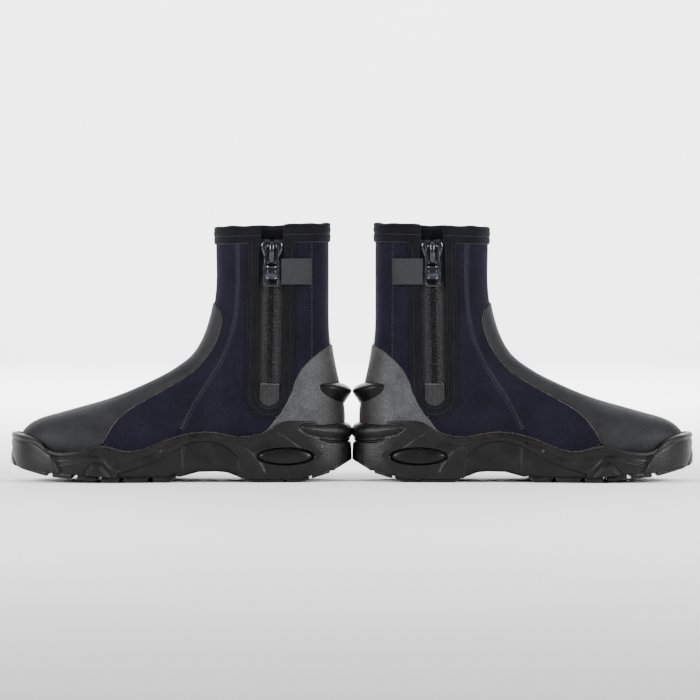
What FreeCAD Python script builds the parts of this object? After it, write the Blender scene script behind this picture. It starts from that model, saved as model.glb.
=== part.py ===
import FreeCAD, Part
import math
import os

from FreeCAD import Vector

# A pair of zipped neoprene dive boots that stand heel to heel. Millimetres, +Z up, floor at z = 0.
# The left boot has its toe towards +X and its heel spur beside x = 0, and the right boot is its
# mirror image about x = 0. The zips are on the inner (medial) sides, which face -Y on both boots.
# Everything below describes the left boot, and the export at the end mirrors it.

# --- driving dimensions -------------------------------------------------------------------------

NEOPRENE = 5.0  # thickness of the neoprene sheet
OVERLAY = 1.3  # rubberised instep overlay
COUNTER = 1.8  # moulded rubber heel counter
BINDING = 1.5  # binding round the collar and the zip
COLLAR_TOP = 1.8  # how far the binding rolls over the top edge
COLLAR_LOW = 208.0  # lower edge of the collar binding

# Sections of the neoprene outer surface, from the collar down to the heel and out to the toe. Each
# lies in a plane square to XZ, through a front point and a back point of the side view:
# front x, front z, back x, back z, medial half width, lateral half width, widest, upper, lower.
# "widest" is where the section is widest, from -1 at the back point to 1 at the front point, and
# the last two are the powers of the rounded outline in front of that place and behind it.
SECTIONS = [
    (120.0, 221.5, 20.5, 225.0, 42.0, 42.0, 0.00, 2.6, 2.6),
    (119.5, 190.0, 20.5, 190.0, 42.0, 42.0, 0.00, 2.6, 2.6),
    (119.5, 165.0, 20.5, 158.0, 42.0, 42.0, 0.00, 2.6, 2.6),
    (122.0, 149.0, 20.5, 132.0, 42.0, 42.0, 0.00, 2.6, 2.5),
    (128.0, 130.0, 17.5, 108.0, 42.0, 42.0, 0.00, 2.6, 2.4),
    (138.0, 112.5, 12.0, 85.0, 42.0, 42.0, 0.00, 2.5, 2.3),
    (150.5, 101.5, 8.0, 60.0, 42.0, 42.0, -0.05, 2.4, 2.3),
    (163.5, 93.5, 9.5, 42.0, 41.5, 42.0, -0.10, 2.3, 2.4),
    (177.0, 87.0, 16.0, 26.0, 40.5, 41.5, -0.15, 2.2, 2.6),
    (191.5, 80.5, 55.0, 20.0, 39.0, 41.0, -0.20, 2.1, 3.0),
    (207.0, 74.0, 110.0, 18.0, 39.5, 42.5, -0.25, 2.1, 3.2),
    (224.0, 68.0, 160.0, 13.0, 43.0, 45.5, -0.30, 2.1, 3.4),
    (242.0, 63.0, 203.0, 12.0, 46.5, 46.0, -0.30, 2.1, 3.4),
    (259.0, 58.5, 238.0, 13.0, 44.0, 41.0, -0.25, 2.1, 3.2),
    (274.0, 54.0, 263.0, 16.0, 37.0, 32.0, -0.15, 2.2, 3.0),
    (285.5, 47.0, 280.0, 21.5, 25.0, 20.0, -0.05, 2.2, 2.6),
    (291.0, 39.5, 289.0, 28.0, 11.0, 7.0, 0.00, 2.2, 2.2),
]
SECTION_POINTS = 20  # interpolation points round one section
SECTION_SAMPLES = 360  # fine steps used to space those points evenly

# Seams and edges in side view, as x, z.
FRONT_SEAM = [(101, 232), (100, 180), (101.5, 150), (106, 127), (117, 101), (133, 76), (149, 46), (158, 10)]
REAR_SEAM = [(35, 232), (35, 150), (35, 100), (36, 60), (38, 10)]
OVERLAY_EDGE = [
    (134, 158), (122, 157), (114.5, 146), (115.5, 132), (126, 110.5), (144, 92.5),
    (160, 82.5), (183, 69.5), (197, 61.2), (208.5, 50), (218.5, 33), (226, 14),
]
COUNTER_EDGE = [
    (6, 124), (18, 120), (35, 108), (43.5, 99), (51, 85), (58.3, 69), (68.5, 53), (75, 44), (81, 32),
]
COUNTER_LOW = 32.0  # lower edge of the counter, inside the sole
SOLE_TOP = [
    (-6, 48), (10, 50.5), (45, 52.5), (62, 51), (74, 44), (84, 40), (100, 38.5), (120, 42), (140, 41.5),
    (155, 38), (170, 32.5), (197, 25.8), (217, 30.2), (235, 27.5), (250, 25.5), (263, 27), (274.5, 34.8),
    (290, 39.5), (306, 42),
]
SOLE_BOTTOM = [
    (306, 21), (300, 17), (292, 11.5), (265, 5), (210, 0), (160, 0), (151, 4.5), (134, 9), (112, 9.5),
    (100, 5), (90, 0), (45, 0), (20, 7.5), (2, 18), (-6, 19),
]
GUARD_EDGE = [(254, 2), (259, 18), (266, 29), (275, 36.5), (288, 41), (306, 44)]
GUARD_CLOSING = [(320, 44), (320, 21), (306, 21), (300, 18), (292, 12.5), (270, 7)]
SOCK_SOLE_TOP = 25.0  # height where the sock's bottom panel meets the side panels
INSOLE_TOP = [
    (0, 35), (30, 33), (55, 29.5), (110, 27.5), (160, 22.5), (203, 21.3), (240, 22.3), (265, 26), (300, 34),
]

# Plan outline of the sole at its widest, as x, y. The medial side is negative.
SOLE_PLAN = [
    (1.2, 0), (5, -18), (20, -32), (50, -39.5), (85, -42), (120, -42), (155, -45), (190, -50), (222, -53),
    (250, -50.5), (273, -41), (289, -26), (297.5, -8), (299, 3), (296, 16), (284, 31), (265, 43), (235, 51),
    (200, 53), (165, 51.5), (125, 47.5), (85, 43.5), (50, 40), (20, 32), (5, 18),
]
SOLE_CENTRE_X = 150.0
SOLE_HALF_LENGTH = 149.0
SOLE_END_HALF = 26.0  # half width under which the sole's round ends draw in lengthwise
# Sole wall: height above the floor and how far the wall has drawn in from the plan outline there.
SOLE_WALL = [(-2, 3.0), (12, 0.4), (24, 0.0), (40, 1.0), (62, 4.0)]
GUARD_THICKNESS = 1.6

FOREFOOT_GROOVES = [176, 201, 221, 242, 264]
HEEL_GROOVES = [18, 36.5, 58]
FOREFOOT_GROOVE = (4.6, 4.0)  # width and depth
HEEL_GROOVE = (2.6, 2.2)

INSERT_CENTRE = (58.0, 22.5)
INSERT_HALF = (23.0, 6.4)
INSERT_GAP = 0.9
INSERT_DEPTH = 3.0
INSERT_PROUD = 0.5

# Zip, drawn upright about ZIP_X and then tilted about ZIP_PIVOT_Z.
ZIP_X = 71.0
ZIP_PIVOT_Z = 145.0
ZIP_TILT = -1.0  # degrees about +Y: the top leans to the heel
TAPE_Y = -40.2  # mid plane of the tape
TAPE = 0.8
GUSSET = 2.2  # thickness of the bellows behind the zip
GUSSET_DEPTH = 5.8
GUSSET_HALF = 24.0
GUSSET_Z = (54.0, 222.0)
SLOT_HALF = 10.0
SLOT_BOTTOM = 64.5
U_BOTTOM = 56.0
U_OUTER_HALF = 20.7
U_INNER_HALF = 9.6
TAPE_GAP = 1.7  # from the centre line to the tape's beaded edge
TEETH_LOW = 87.0
TEETH_PITCH = 3.2
TEETH_COUNT = 35
TOOTH = (5.6, 3.2, 1.42)  # reach, thickness, height
TOOTH_OVER = 1.15  # how far a tooth reaches over the centre line

SLIDER_LOW = 190.0
SLIDER_TOP = 211.0
SLIDER_GAP = 3.7  # between the inner faces of the two plates
PLATE = 1.55
PIVOT_Z = 206.0
PIVOT_OUT = 1.8  # pivot axis in front of the slider's front plate
PULLER_END = 171.0
PULLER = 2.1

STRAP_ROOT_X = 37.0
STRAP_END_X = 62.2
STRAP_Z = (172.5, 195.5)
STRAP_LIFT = 1.9  # inner face above the neoprene
STRAP = 1.5

SPUR_CENTRE_X = 38.0
SPUR_PROFILE = [(16, 87), (6.5, 84), (1.2, 80.5), (0.5, 78), (3.2, 73.5), (8, 66), (16, 63)]
SPUR_HALF_ANGLE = 62.0

FAR = 90.0  # reach of the side-view prisms across the boot


# --- helpers ------------------------------------------------------------------------------------

def signed_power(value, power):
    return math.copysign(abs(value) ** power, value)


def section_outline(section, grow):
    """Evenly spaced points round one section, grown outwards by grow."""
    front_x, front_z, back_x, back_z, medial, lateral, widest, upper, lower = section
    front = Vector(front_x, 0, front_z)
    back = Vector(back_x, 0, back_z)
    along = (front - back).normalize()
    front = front + along * grow
    back = back - along * grow
    middle = (front + back) * 0.5
    half = (front - back).Length / 2
    fine = []
    for step in range(SECTION_SAMPLES):
        angle = 2 * math.pi * step / SECTION_SAMPLES
        power = upper if math.cos(angle) > 0 else lower
        reach = (1 - widest) if math.cos(angle) > 0 else (1 + widest)
        place = widest + reach * signed_power(math.cos(angle), 2 / power)
        width = (medial if math.sin(angle) < 0 else lateral) + grow
        side = width * signed_power(math.sin(angle), 2 / power)
        fine.append(middle + along * (half * place) + Vector(0, side, 0))
    fine.append(fine[0])
    lengths = [0.0]
    for start, end in zip(fine, fine[1:]):
        lengths.append(lengths[-1] + (end - start).Length)
    points = []
    index = 0
    for count in range(SECTION_POINTS):
        target = lengths[-1] * count / SECTION_POINTS
        while lengths[index + 1] < target:
            index += 1
        share = (target - lengths[index]) / (lengths[index + 1] - lengths[index])
        points.append(fine[index] + (fine[index + 1] - fine[index]) * share)
    return points


def is_ring(edge):
    start = edge.valueAt(edge.FirstParameter)
    end = edge.valueAt(edge.LastParameter)
    return start.isEqual(end, 1e-6)


def skinned_solid(rings):
    """A solid through closed rings of points, with a flat cap on the first ring and the last."""
    surface = Part.BSplineSurface()
    surface.interpolate([ring + ring[:1] for ring in rings])
    skin = surface.toShape()
    caps = [Part.Face(Part.Wire([edge])) for edge in skin.Edges if is_ring(edge)]
    shell = Part.makeShell([skin, *caps])
    shell.sewShape()
    solid = Part.Solid(shell)
    if solid.Volume < 0:
        solid.reverse()
    return solid


def boot_solid(grow, above=0.0):
    """The boot's outer form, grown by grow, and carried up by above at the collar."""
    sections = list(SECTIONS)
    if above:
        top = list(sections[0])
        top[1] += above
        top[3] += above
        sections.insert(0, tuple(top))
    toe = list(sections[-1])
    toe[0] += grow
    toe[2] += grow
    sections[-1] = tuple(toe)
    return skinned_solid([section_outline(section, grow) for section in sections])


def side_prism(points, low_y=-FAR, high_y=FAR, closing=()):
    """A prism across the boot. points make a smooth edge in side view, closing its straight corners."""
    edge = Part.BSplineCurve()
    edge.interpolate([Vector(x, low_y, z) for x, z in points])
    corners = [Vector(x, low_y, z) for x, z in [points[-1], *closing, points[0]]]
    edges = [edge.toShape()] + [Part.makeLine(a, b) for a, b in zip(corners, corners[1:])]
    face = Part.Face(Part.Wire(edges))
    return face.extrude(Vector(0, high_y - low_y, 0))


def box(low, high):
    size = [b - a for a, b in zip(low, high)]
    return Part.makeBox(*size, Vector(*low))


def tilted(shape):
    turned = shape.copy()
    turned.rotate(Vector(ZIP_X, 0, ZIP_PIVOT_Z), Vector(0, 1, 0), ZIP_TILT)
    return turned


def slot_prism(half, bottom, top=240.0, low_y=-FAR, high_y=0.0):
    """A tall slot with a round bottom, on the zip's centre line."""
    centre_z = bottom + half
    column = box((ZIP_X - half, low_y, centre_z), (ZIP_X + half, high_y, top))
    foot = Part.makeCylinder(half, high_y - low_y, Vector(ZIP_X, low_y, centre_z), Vector(0, 1, 0))
    return tilted(column.fuse(foot).removeSplitter())


def sole_loft(inset):
    """The sole wall's volume, drawn in all round by inset."""
    rings = []
    for height, draw in SOLE_WALL:
        shrink = draw + inset
        points = []
        for x, y in SOLE_PLAN:
            toward_end = (x - SOLE_CENTRE_X) / SOLE_HALF_LENGTH
            keep = 1 - shrink / max(abs(y), SOLE_END_HALF)
            points.append(Vector(x - shrink * toward_end ** 3, y * keep, height))
        rings.append(points)
    return skinned_solid(rings)


# --- shared forms -------------------------------------------------------------------------------

outer = boot_solid(0.0)
inner = boot_solid(-NEOPRENE, above=20.0)
shell = outer.cut(inner)

ahead_of_front_seam = side_prism(FRONT_SEAM, closing=[(330, 10), (330, 232)])
behind_rear_seam = side_prism(REAR_SEAM, closing=[(-30, 10), (-30, 232)])
overlay_region = side_prism(OVERLAY_EDGE, closing=[(330, 14), (330, 158)])
counter_region = side_prism(COUNTER_EDGE, closing=[(-30, COUNTER_LOW), (-30, 124)])
sole_region = side_prism(SOLE_TOP, closing=SOLE_BOTTOM)
low_region = box((-30, -FAR, -10), (330, FAR, SOCK_SOLE_TOP))
medial_half = box((-30, -FAR, -10), (330, 0, 260))
zip_slot = slot_prism(SLOT_HALF, SLOT_BOTTOM)


# --- upper --------------------------------------------------------------------------------------

def sock_sole():
    return shell.common(low_region)


def upper_shell():
    return shell.cut(low_region)


def vamp_panel(upper):
    return upper.common(ahead_of_front_seam)


def rear_panel(upper):
    return upper.common(behind_rear_seam)


def side_panels(upper):
    """The medial ankle panel, with the zip's slot in it, and the lateral one."""
    middle = upper.cut(ahead_of_front_seam).cut(behind_rear_seam)
    medial = middle.common(medial_half).cut(zip_slot)
    lateral = middle.cut(medial_half)
    return medial, lateral


def instep_overlay():
    return boot_solid(OVERLAY).cut(outer).common(overlay_region)


def heel_counter():
    return boot_solid(COUNTER).cut(outer).common(counter_region)


def collar_binding():
    """A band that covers the top edge of the neoprene outside and on top, open at the zip."""
    band = boot_solid(BINDING, above=COLLAR_TOP).cut(inner)
    band = band.common(box((-30, -FAR, COLLAR_LOW), (330, FAR, 260)))
    gap = slot_prism(U_INNER_HALF + 1.4, SLOT_BOTTOM)
    return band.cut(outer).cut(gap)


def zip_binding(counter):
    """The U-shaped placket that frames the zip, cut where the heel counter covers it."""
    frame = slot_prism(U_OUTER_HALF, U_BOTTOM, top=COLLAR_LOW - 0.2)
    frame = frame.cut(slot_prism(U_INNER_HALF, U_BOTTOM + U_OUTER_HALF - U_INNER_HALF))
    return boot_solid(BINDING).cut(outer).common(frame).cut(counter)


def gusset():
    """The thin bellows that closes the slot behind the zip."""
    front = boot_solid(-GUSSET_DEPTH)
    back = boot_solid(-GUSSET_DEPTH - GUSSET, above=20.0)
    low, high = GUSSET_Z
    window = box((ZIP_X - GUSSET_HALF, -FAR, low), (ZIP_X + GUSSET_HALF, 0, high))
    return front.cut(back).common(window)


# --- sole ---------------------------------------------------------------------------------------

def heel_wedge():
    block = sole_loft(9.0).common(box((15, -FAR, 9), (98, FAR, 40)))
    return block.cut(outer)


def side_insert_prism(extra):
    half_x, half_z = INSERT_HALF
    centre = Vector(INSERT_CENTRE[0], -FAR, INSERT_CENTRE[1])
    end = centre + Vector(half_x + extra, 0, 0)
    crest = centre + Vector(0, 0, half_z + extra)
    ellipse = Part.Ellipse(end, crest, centre)
    face = Part.Face(Part.Wire([ellipse.toShape()]))
    return face.extrude(Vector(0, 2 * FAR, 0))


def side_inserts(core):
    """One oval plug in each side wall of the heel, standing a little proud of it."""
    return side_insert_prism(0.0).common(sole_loft(-INSERT_PROUD)).cut(core)


def grooves():
    """Transverse tread grooves, and the long groove down the middle of the tread."""
    cutters = []
    width, depth = FOREFOOT_GROOVE
    for x in FOREFOOT_GROOVES:
        rise = max(0.0, (x - 210) * 0.1)
        cutters.append(box((x - width / 2, -FAR, -5), (x + width / 2, FAR, rise + depth)))
    cutters.append(box((168, -2.5, -5), (274, 2.5, depth)))
    width, depth = HEEL_GROOVE
    for x in HEEL_GROOVES:
        rise = max(0.0, (45 - x) * 0.33)
        cutters.append(box((x - width / 2, -FAR, -5), (x + width / 2, FAR, rise + depth)))
    cutters.append(box((20, -2.0, -5), (86, 2.0, depth)))
    return cutters


def outsole(counter, overlay, wedge):
    core = sole_loft(INSERT_DEPTH)
    body = sole_loft(0.0).common(sole_region)
    body = body.cut(side_insert_prism(INSERT_GAP).cut(core))
    body = body.cut(outer).cut([counter, overlay, wedge])
    body = body.cut(grooves())
    return max(body.Solids, key=lambda solid: solid.Volume), core


def toe_guard():
    """The toe bumper, bonded round the front of the sole wall."""
    region = side_prism(GUARD_EDGE, closing=GUARD_CLOSING)
    ring = sole_loft(-GUARD_THICKNESS).cut(sole_loft(0.0))
    return max(ring.common(region).Solids, key=lambda solid: solid.Volume)


def insole():
    """The loose foam footbed inside the boot."""
    region = side_prism(INSOLE_TOP, closing=[(300, 0), (0, 0)])
    return boot_solid(-NEOPRENE).common(region)


def kick_tab(counter):
    """The spur round the back of the heel that stops a fin strap from slipping down."""
    edges = []
    corners = [Vector(x, 0, z) for x, z in SPUR_PROFILE]
    for start, end in zip(corners, corners[1:] + corners[:1]):
        edges.append(Part.makeLine(start, end))
    face = Part.Face(Part.Wire(edges))
    face.rotate(Vector(SPUR_CENTRE_X, 0, 0), Vector(0, 0, 1), -SPUR_HALF_ANGLE)
    ring = face.revolve(Vector(SPUR_CENTRE_X, 0, 0), Vector(0, 0, 1), 2 * SPUR_HALF_ANGLE)
    spur = ring.cut(boot_solid(COUNTER))
    return max(spur.Solids, key=lambda solid: solid.Volume)


# --- zip ----------------------------------------------------------------------------------------

def zip_tape(side):
    """side is 1 for the tape nearer the toe and -1 for the one nearer the heel."""
    near, far = sorted((ZIP_X + side * TAPE_GAP, ZIP_X + side * SLOT_HALF))
    strip = box((near, TAPE_Y - TAPE / 2, TEETH_LOW), (far, TAPE_Y + TAPE / 2, 219))
    return tilted(strip)


def zip_teeth(side):
    """One row of moulded teeth, set half a pitch from the other row."""
    reach, thickness, height = TOOTH
    low_x, high_x = sorted((ZIP_X - side * TOOTH_OVER, ZIP_X + side * (reach - TOOTH_OVER)))
    start = TEETH_LOW + (TEETH_PITCH / 2 if side > 0 else 0)
    strip = box(
        (min(ZIP_X + side * TAPE_GAP, ZIP_X + side * SLOT_HALF), TAPE_Y - TAPE / 2, TEETH_LOW - 1),
        (max(ZIP_X + side * TAPE_GAP, ZIP_X + side * SLOT_HALF), TAPE_Y + TAPE / 2, 219),
    )
    teeth = []
    for number in range(TEETH_COUNT):
        low_z = start + number * TEETH_PITCH
        tooth = box((low_x, TAPE_Y - thickness / 2, low_z), (high_x, TAPE_Y + thickness / 2, low_z + height))
        teeth.append(tilted(tooth.cut(strip)))
    return Part.makeCompound(teeth)


def zip_top_stops():
    stops = []
    for side in (-1, 1):
        low_x, high_x = sorted((ZIP_X + side * 2.6, ZIP_X + side * 5.6))
        block = box((low_x, TAPE_Y - 1.5, 205.0), (high_x, TAPE_Y + 1.5, 209.0))
        tape = box((low_x - 9, TAPE_Y - TAPE / 2, 200), (high_x + 9, TAPE_Y + TAPE / 2, 215))
        stops.append(tilted(block.cut(tape)))
    return Part.makeCompound(stops)


def zip_end_patch():
    """The ribbed patch that closes the bottom of the zip."""
    centre_z = SLOT_BOTTOM + SLOT_HALF
    column = box((ZIP_X - SLOT_HALF, TAPE_Y - 1.2, centre_z), (ZIP_X + SLOT_HALF, TAPE_Y + 0.8, TEETH_LOW))
    foot = Part.makeCylinder(SLOT_HALF, 2.0, Vector(ZIP_X, TAPE_Y - 1.2, centre_z), Vector(0, 1, 0))
    return tilted(column.fuse(foot).removeSplitter())


SLIDER_OUTLINE = [
    (-5.6, SLIDER_LOW), (5.6, SLIDER_LOW), (6.6, 197.0), (9.2, 204.5), (9.0, 209.0), (6.5, SLIDER_TOP),
    (-6.5, SLIDER_TOP), (-9.0, 209.0), (-9.2, 204.5), (-6.6, 197.0),
]
POST_OUTLINE = [(-1.1, SLIDER_TOP), (1.1, SLIDER_TOP), (0.35, 203.0), (-0.35, 203.0)]


def plate_prism(outline, low_y, high_y):
    corners = [Vector(ZIP_X + x, low_y, z) for x, z in outline]
    face = Part.Face(Part.makePolygon(corners + corners[:1]))
    return face.extrude(Vector(0, high_y - low_y, 0))


def slider_body():
    """Front and back plates, their flanges, and the wedge post that parts the two rows."""
    front_face = TAPE_Y - SLIDER_GAP / 2
    back_face = TAPE_Y + SLIDER_GAP / 2
    tape_room = TAPE / 2 + 0.35
    body = plate_prism(SLIDER_OUTLINE, front_face - PLATE, front_face)
    body = body.fuse(plate_prism(SLIDER_OUTLINE, back_face, back_face + PLATE))
    flange_wall = 1.0
    channel = [(x * (1 - flange_wall / abs(x)), z) for x, z in SLIDER_OUTLINE]
    channel = [(x, z - 1 if z == SLIDER_LOW else (z + 1 if z == SLIDER_TOP else z)) for x, z in channel]
    rim = plate_prism(SLIDER_OUTLINE, front_face, back_face)
    rim = rim.cut(plate_prism(channel, front_face, back_face))
    rim = rim.cut(box((ZIP_X - 20, TAPE_Y - tape_room, 180), (ZIP_X + 20, TAPE_Y + tape_room, 220)))
    mouth = box((ZIP_X - 5.0, front_face, 209.0), (ZIP_X + 5.0, back_face, 214))
    rim = rim.cut(mouth)
    post = plate_prism(POST_OUTLINE, front_face, back_face)
    return tilted(body.fuse([rim, post]).removeSplitter())


def slider_crown():
    """The bridge on the front plate that the puller's bar turns under."""
    plate = TAPE_Y - SLIDER_GAP / 2 - PLATE
    profile = [
        (plate, 210.2), (plate - 4.2, 209.2), (plate - 5.4, 206.0), (plate - 5.2, 198.0),
        (plate - 3.4, 193.0), (plate, 191.4), (plate, 193.6), (plate - 3.0, 195.4),
        (plate - 3.4, 204.0), (plate - 3.2, 207.6), (plate - 2.4, 208.3), (plate, 208.6),
    ]
    corners = [Vector(ZIP_X - 2.1, y, z) for y, z in profile]
    face = Part.Face(Part.makePolygon(corners + corners[:1]))
    return tilted(face.extrude(Vector(4.2, 0, 0)))


def zip_puller():
    """The pull tab: a round bar, two arms round the crown, and a windowed grip."""
    plate = TAPE_Y - SLIDER_GAP / 2 - PLATE
    pivot_y = plate - PIVOT_OUT
    outline = [
        (-6.2, 206.4), (-5.4, 207.1), (5.4, 207.1), (6.2, 206.4), (6.7, 198.0), (5.6, 186.0), (5.5, 173.0),
        (4.4, PULLER_END), (-4.4, PULLER_END), (-5.5, 173.0), (-5.6, 186.0), (-6.7, 198.0),
    ]
    tab = plate_prism(outline, pivot_y - PULLER / 2, pivot_y + PULLER / 2)
    yoke = box((ZIP_X - 3.6, -60, 189.0), (ZIP_X + 3.6, -30, 214))
    window = box((ZIP_X - 3.4, -60, 174.0), (ZIP_X + 3.4, -30, 186.2))
    tab = tab.cut([yoke, window])
    bar = Part.makeCylinder(PULLER / 2, 8.0, Vector(ZIP_X - 4.0, pivot_y, PIVOT_Z), Vector(1, 0, 0))
    badge = box((ZIP_X - 3.4, pivot_y - 0.5, 177.5), (ZIP_X + 3.4, pivot_y + 0.5, 186.2))
    return tilted(tab.fuse([bar, badge]).removeSplitter())


def zip_strap():
    """The hook-and-loop tab that keeps the slider up, lying on the placket beside the puller."""
    sheet = boot_solid(STRAP_LIFT + STRAP).cut(boot_solid(STRAP_LIFT))
    window = box((STRAP_ROOT_X, -FAR, STRAP_Z[0]), (STRAP_END_X, 0, STRAP_Z[1]))
    return sheet.common(window)


# --- assembly -----------------------------------------------------------------------------------

def left_boot():
    upper = upper_shell()
    medial, lateral = side_panels(upper)
    counter = heel_counter()
    overlay = instep_overlay()
    wedge = heel_wedge()
    sole, core = outsole(counter, overlay, wedge)
    return {
        "outsole": sole,
        "heel_wedge": wedge,
        "side_inserts": side_inserts(core),
        "toe_guard": toe_guard(),
        "sock_sole": sock_sole(),
        "insole": insole(),
        "vamp_panel": vamp_panel(upper),
        "medial_panel": medial,
        "lateral_panel": lateral,
        "rear_panel": rear_panel(upper),
        "instep_overlay": overlay,
        "heel_counter": counter,
        "kick_tab": kick_tab(counter),
        "collar_binding": collar_binding(),
        "zip_binding": zip_binding(counter),
        "zip_gusset": gusset(),
        "zip_tape_toe_side": zip_tape(1),
        "zip_tape_heel_side": zip_tape(-1),
        "zip_teeth_toe_side": zip_teeth(1),
        "zip_teeth_heel_side": zip_teeth(-1),
        "zip_top_stops": zip_top_stops(),
        "zip_end_patch": zip_end_patch(),
        "slider_body": slider_body(),
        "slider_crown": slider_crown(),
        "zip_puller": zip_puller(),
        "zip_strap": zip_strap(),
    }


os.makedirs("parts", exist_ok=True)
for name, shape in left_boot().items():
    for side in ("left", "right"):
        placed = Part.makeCompound(shape.Solids) if len(shape.Solids) > 1 else shape.Solids[0]
        if side == "right":
            placed = placed.mirror(Vector(0, 0, 0), Vector(1, 0, 0))
        placed.exportStep(f"parts/{side}_{name}.step")
        print(f"{side}_{name}", len(placed.Solids), round(placed.Volume, 1), placed.isValid())
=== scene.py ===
import math

import bmesh
import bpy
import numpy as np
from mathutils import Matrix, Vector


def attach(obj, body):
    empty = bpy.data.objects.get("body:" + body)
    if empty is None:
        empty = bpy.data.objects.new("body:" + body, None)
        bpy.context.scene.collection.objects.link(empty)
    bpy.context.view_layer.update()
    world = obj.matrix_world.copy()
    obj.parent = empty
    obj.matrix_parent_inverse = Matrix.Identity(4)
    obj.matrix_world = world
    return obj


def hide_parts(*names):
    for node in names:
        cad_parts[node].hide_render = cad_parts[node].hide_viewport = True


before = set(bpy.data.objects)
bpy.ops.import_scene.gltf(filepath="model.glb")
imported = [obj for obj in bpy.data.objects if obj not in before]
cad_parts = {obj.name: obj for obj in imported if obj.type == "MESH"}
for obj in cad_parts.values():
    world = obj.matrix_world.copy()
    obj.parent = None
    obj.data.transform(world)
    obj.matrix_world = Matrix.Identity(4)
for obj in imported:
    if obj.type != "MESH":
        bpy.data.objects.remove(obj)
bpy.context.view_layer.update()        # the CAD model: bodies, nodes, joints and record

# The looks of a pair of zipped neoprene dive boots. Shapes are worked out in millimetres for the left
# boot, whose toe points to +X and whose zip faces -Y, and are mirrored about x = 0 for the right one.
MM = 0.001

# --- the boot's form, as in the CAD --------------------------------------------------------------

# front x, front z, back x, back z, medial half width, lateral half width, widest, upper, lower
SECTIONS = [
    (120.0, 221.5, 20.5, 225.0, 42.0, 42.0, 0.00, 2.6, 2.6),
    (119.5, 190.0, 20.5, 190.0, 42.0, 42.0, 0.00, 2.6, 2.6),
    (119.5, 165.0, 20.5, 158.0, 42.0, 42.0, 0.00, 2.6, 2.6),
    (122.0, 149.0, 20.5, 132.0, 42.0, 42.0, 0.00, 2.6, 2.5),
    (128.0, 130.0, 17.5, 108.0, 42.0, 42.0, 0.00, 2.6, 2.4),
    (138.0, 112.5, 12.0, 85.0, 42.0, 42.0, 0.00, 2.5, 2.3),
    (150.5, 101.5, 8.0, 60.0, 42.0, 42.0, -0.05, 2.4, 2.3),
    (163.5, 93.5, 9.5, 42.0, 41.5, 42.0, -0.10, 2.3, 2.4),
    (177.0, 87.0, 16.0, 26.0, 40.5, 41.5, -0.15, 2.2, 2.6),
    (191.5, 80.5, 55.0, 20.0, 39.0, 41.0, -0.20, 2.1, 3.0),
    (207.0, 74.0, 110.0, 18.0, 39.5, 42.5, -0.25, 2.1, 3.2),
    (224.0, 68.0, 160.0, 13.0, 43.0, 45.5, -0.30, 2.1, 3.4),
    (242.0, 63.0, 203.0, 12.0, 46.5, 46.0, -0.30, 2.1, 3.4),
    (259.0, 58.5, 238.0, 13.0, 44.0, 41.0, -0.25, 2.1, 3.2),
    (274.0, 54.0, 263.0, 16.0, 37.0, 32.0, -0.15, 2.2, 3.0),
    (285.5, 47.0, 280.0, 21.5, 25.0, 20.0, -0.05, 2.2, 2.6),
    (291.0, 39.5, 289.0, 28.0, 11.0, 7.0, 0.00, 2.2, 2.2),
    (292.4, 35.5, 291.6, 32.5, 2.0, 1.5, 0.00, 2.2, 2.2),
]
FRONT_SEAM = [(101, 232), (100, 180), (101.5, 150), (106, 127), (117, 101), (133, 76), (149, 46), (158, 10)]
REAR_SEAM = [(35, 232), (35, 150), (35, 100), (36, 60), (38, 10)]
OVERLAY_EDGE = [
    (134, 158), (122, 157), (114.5, 146), (115.5, 132), (126, 110.5), (144, 92.5),
    (160, 82.5), (183, 69.5), (197, 61.2), (208.5, 50), (218.5, 33), (226, 14),
]
COUNTER_EDGE = [
    (6, 124), (18, 120), (35, 108), (43.5, 99), (51, 85), (58.3, 69), (68.5, 53), (75, 44), (81, 32),
]
SOLE_TOP = [
    (-6, 48), (10, 50.5), (45, 52.5), (62, 51), (74, 44), (84, 40), (100, 38.5), (120, 42), (140, 41.5),
    (155, 38), (170, 32.5), (197, 25.8), (217, 30.2), (235, 27.5), (250, 25.5), (263, 27), (274.5, 34.8),
    (290, 39.5), (306, 42),
]
SOLE_BOTTOM = [
    (-6, 19), (2, 18), (20, 7.5), (45, 0), (90, 0), (100, 5), (112, 9.5), (134, 9), (151, 4.5), (160, 0),
    (210, 0), (265, 5), (292, 11.5), (300, 17), (306, 21),
]
GUARD_EDGE = [(254, 2), (259, 18), (266, 29), (275, 36.5), (288, 41), (306, 44)]
SOLE_PLAN = [
    (1.2, 0), (5, -18), (20, -32), (50, -39.5), (85, -42), (120, -42), (155, -45), (190, -50), (222, -53),
    (250, -50.5), (273, -41), (289, -26), (297.5, -8), (299, 3), (296, 16), (284, 31), (265, 43), (235, 51),
    (200, 53), (165, 51.5), (125, 47.5), (85, 43.5), (50, 40), (20, 32), (5, 18),
]
SOLE_WALL = [(-2, 3.0), (12, 0.4), (24, 0.0), (40, 1.0), (62, 4.0)]
SOLE_CENTRE_X = 150.0
SOLE_HALF_LENGTH = 149.0
SOLE_END_HALF = 26.0
FOREFOOT_GROOVES = [176, 201, 221, 242, 264]
FOREFOOT_GROOVE_HALF = 2.3
HEEL_GROOVES = [18, 36.5, 58]
HEEL_GROOVE_HALF = 1.3
INSOLE_TOP = [
    (0, 35), (30, 33), (55, 29.5), (110, 27.5), (160, 22.5), (203, 21.3), (240, 22.3), (265, 26), (300, 34),
]

NEOPRENE = 5.0
OVERLAY = 1.3
COUNTER = 1.8
COLLAR_LOW = 208.0

ZIP_X = 71.0
ZIP_PIVOT_Z = 145.0
ZIP_TILT = math.radians(-1.0)
TAPE_Y = -40.2
SLOT_HALF = 10.0
SLOT_BOTTOM = 64.5
U_BOTTOM = 56.0
U_OUTER_HALF = 20.7
U_INNER_HALF = 9.6
TEETH_LOW = 87.0
TEETH_PITCH = 3.2
TEETH_COUNT = 35

ROWS = 720
COLUMNS = 720


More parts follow.
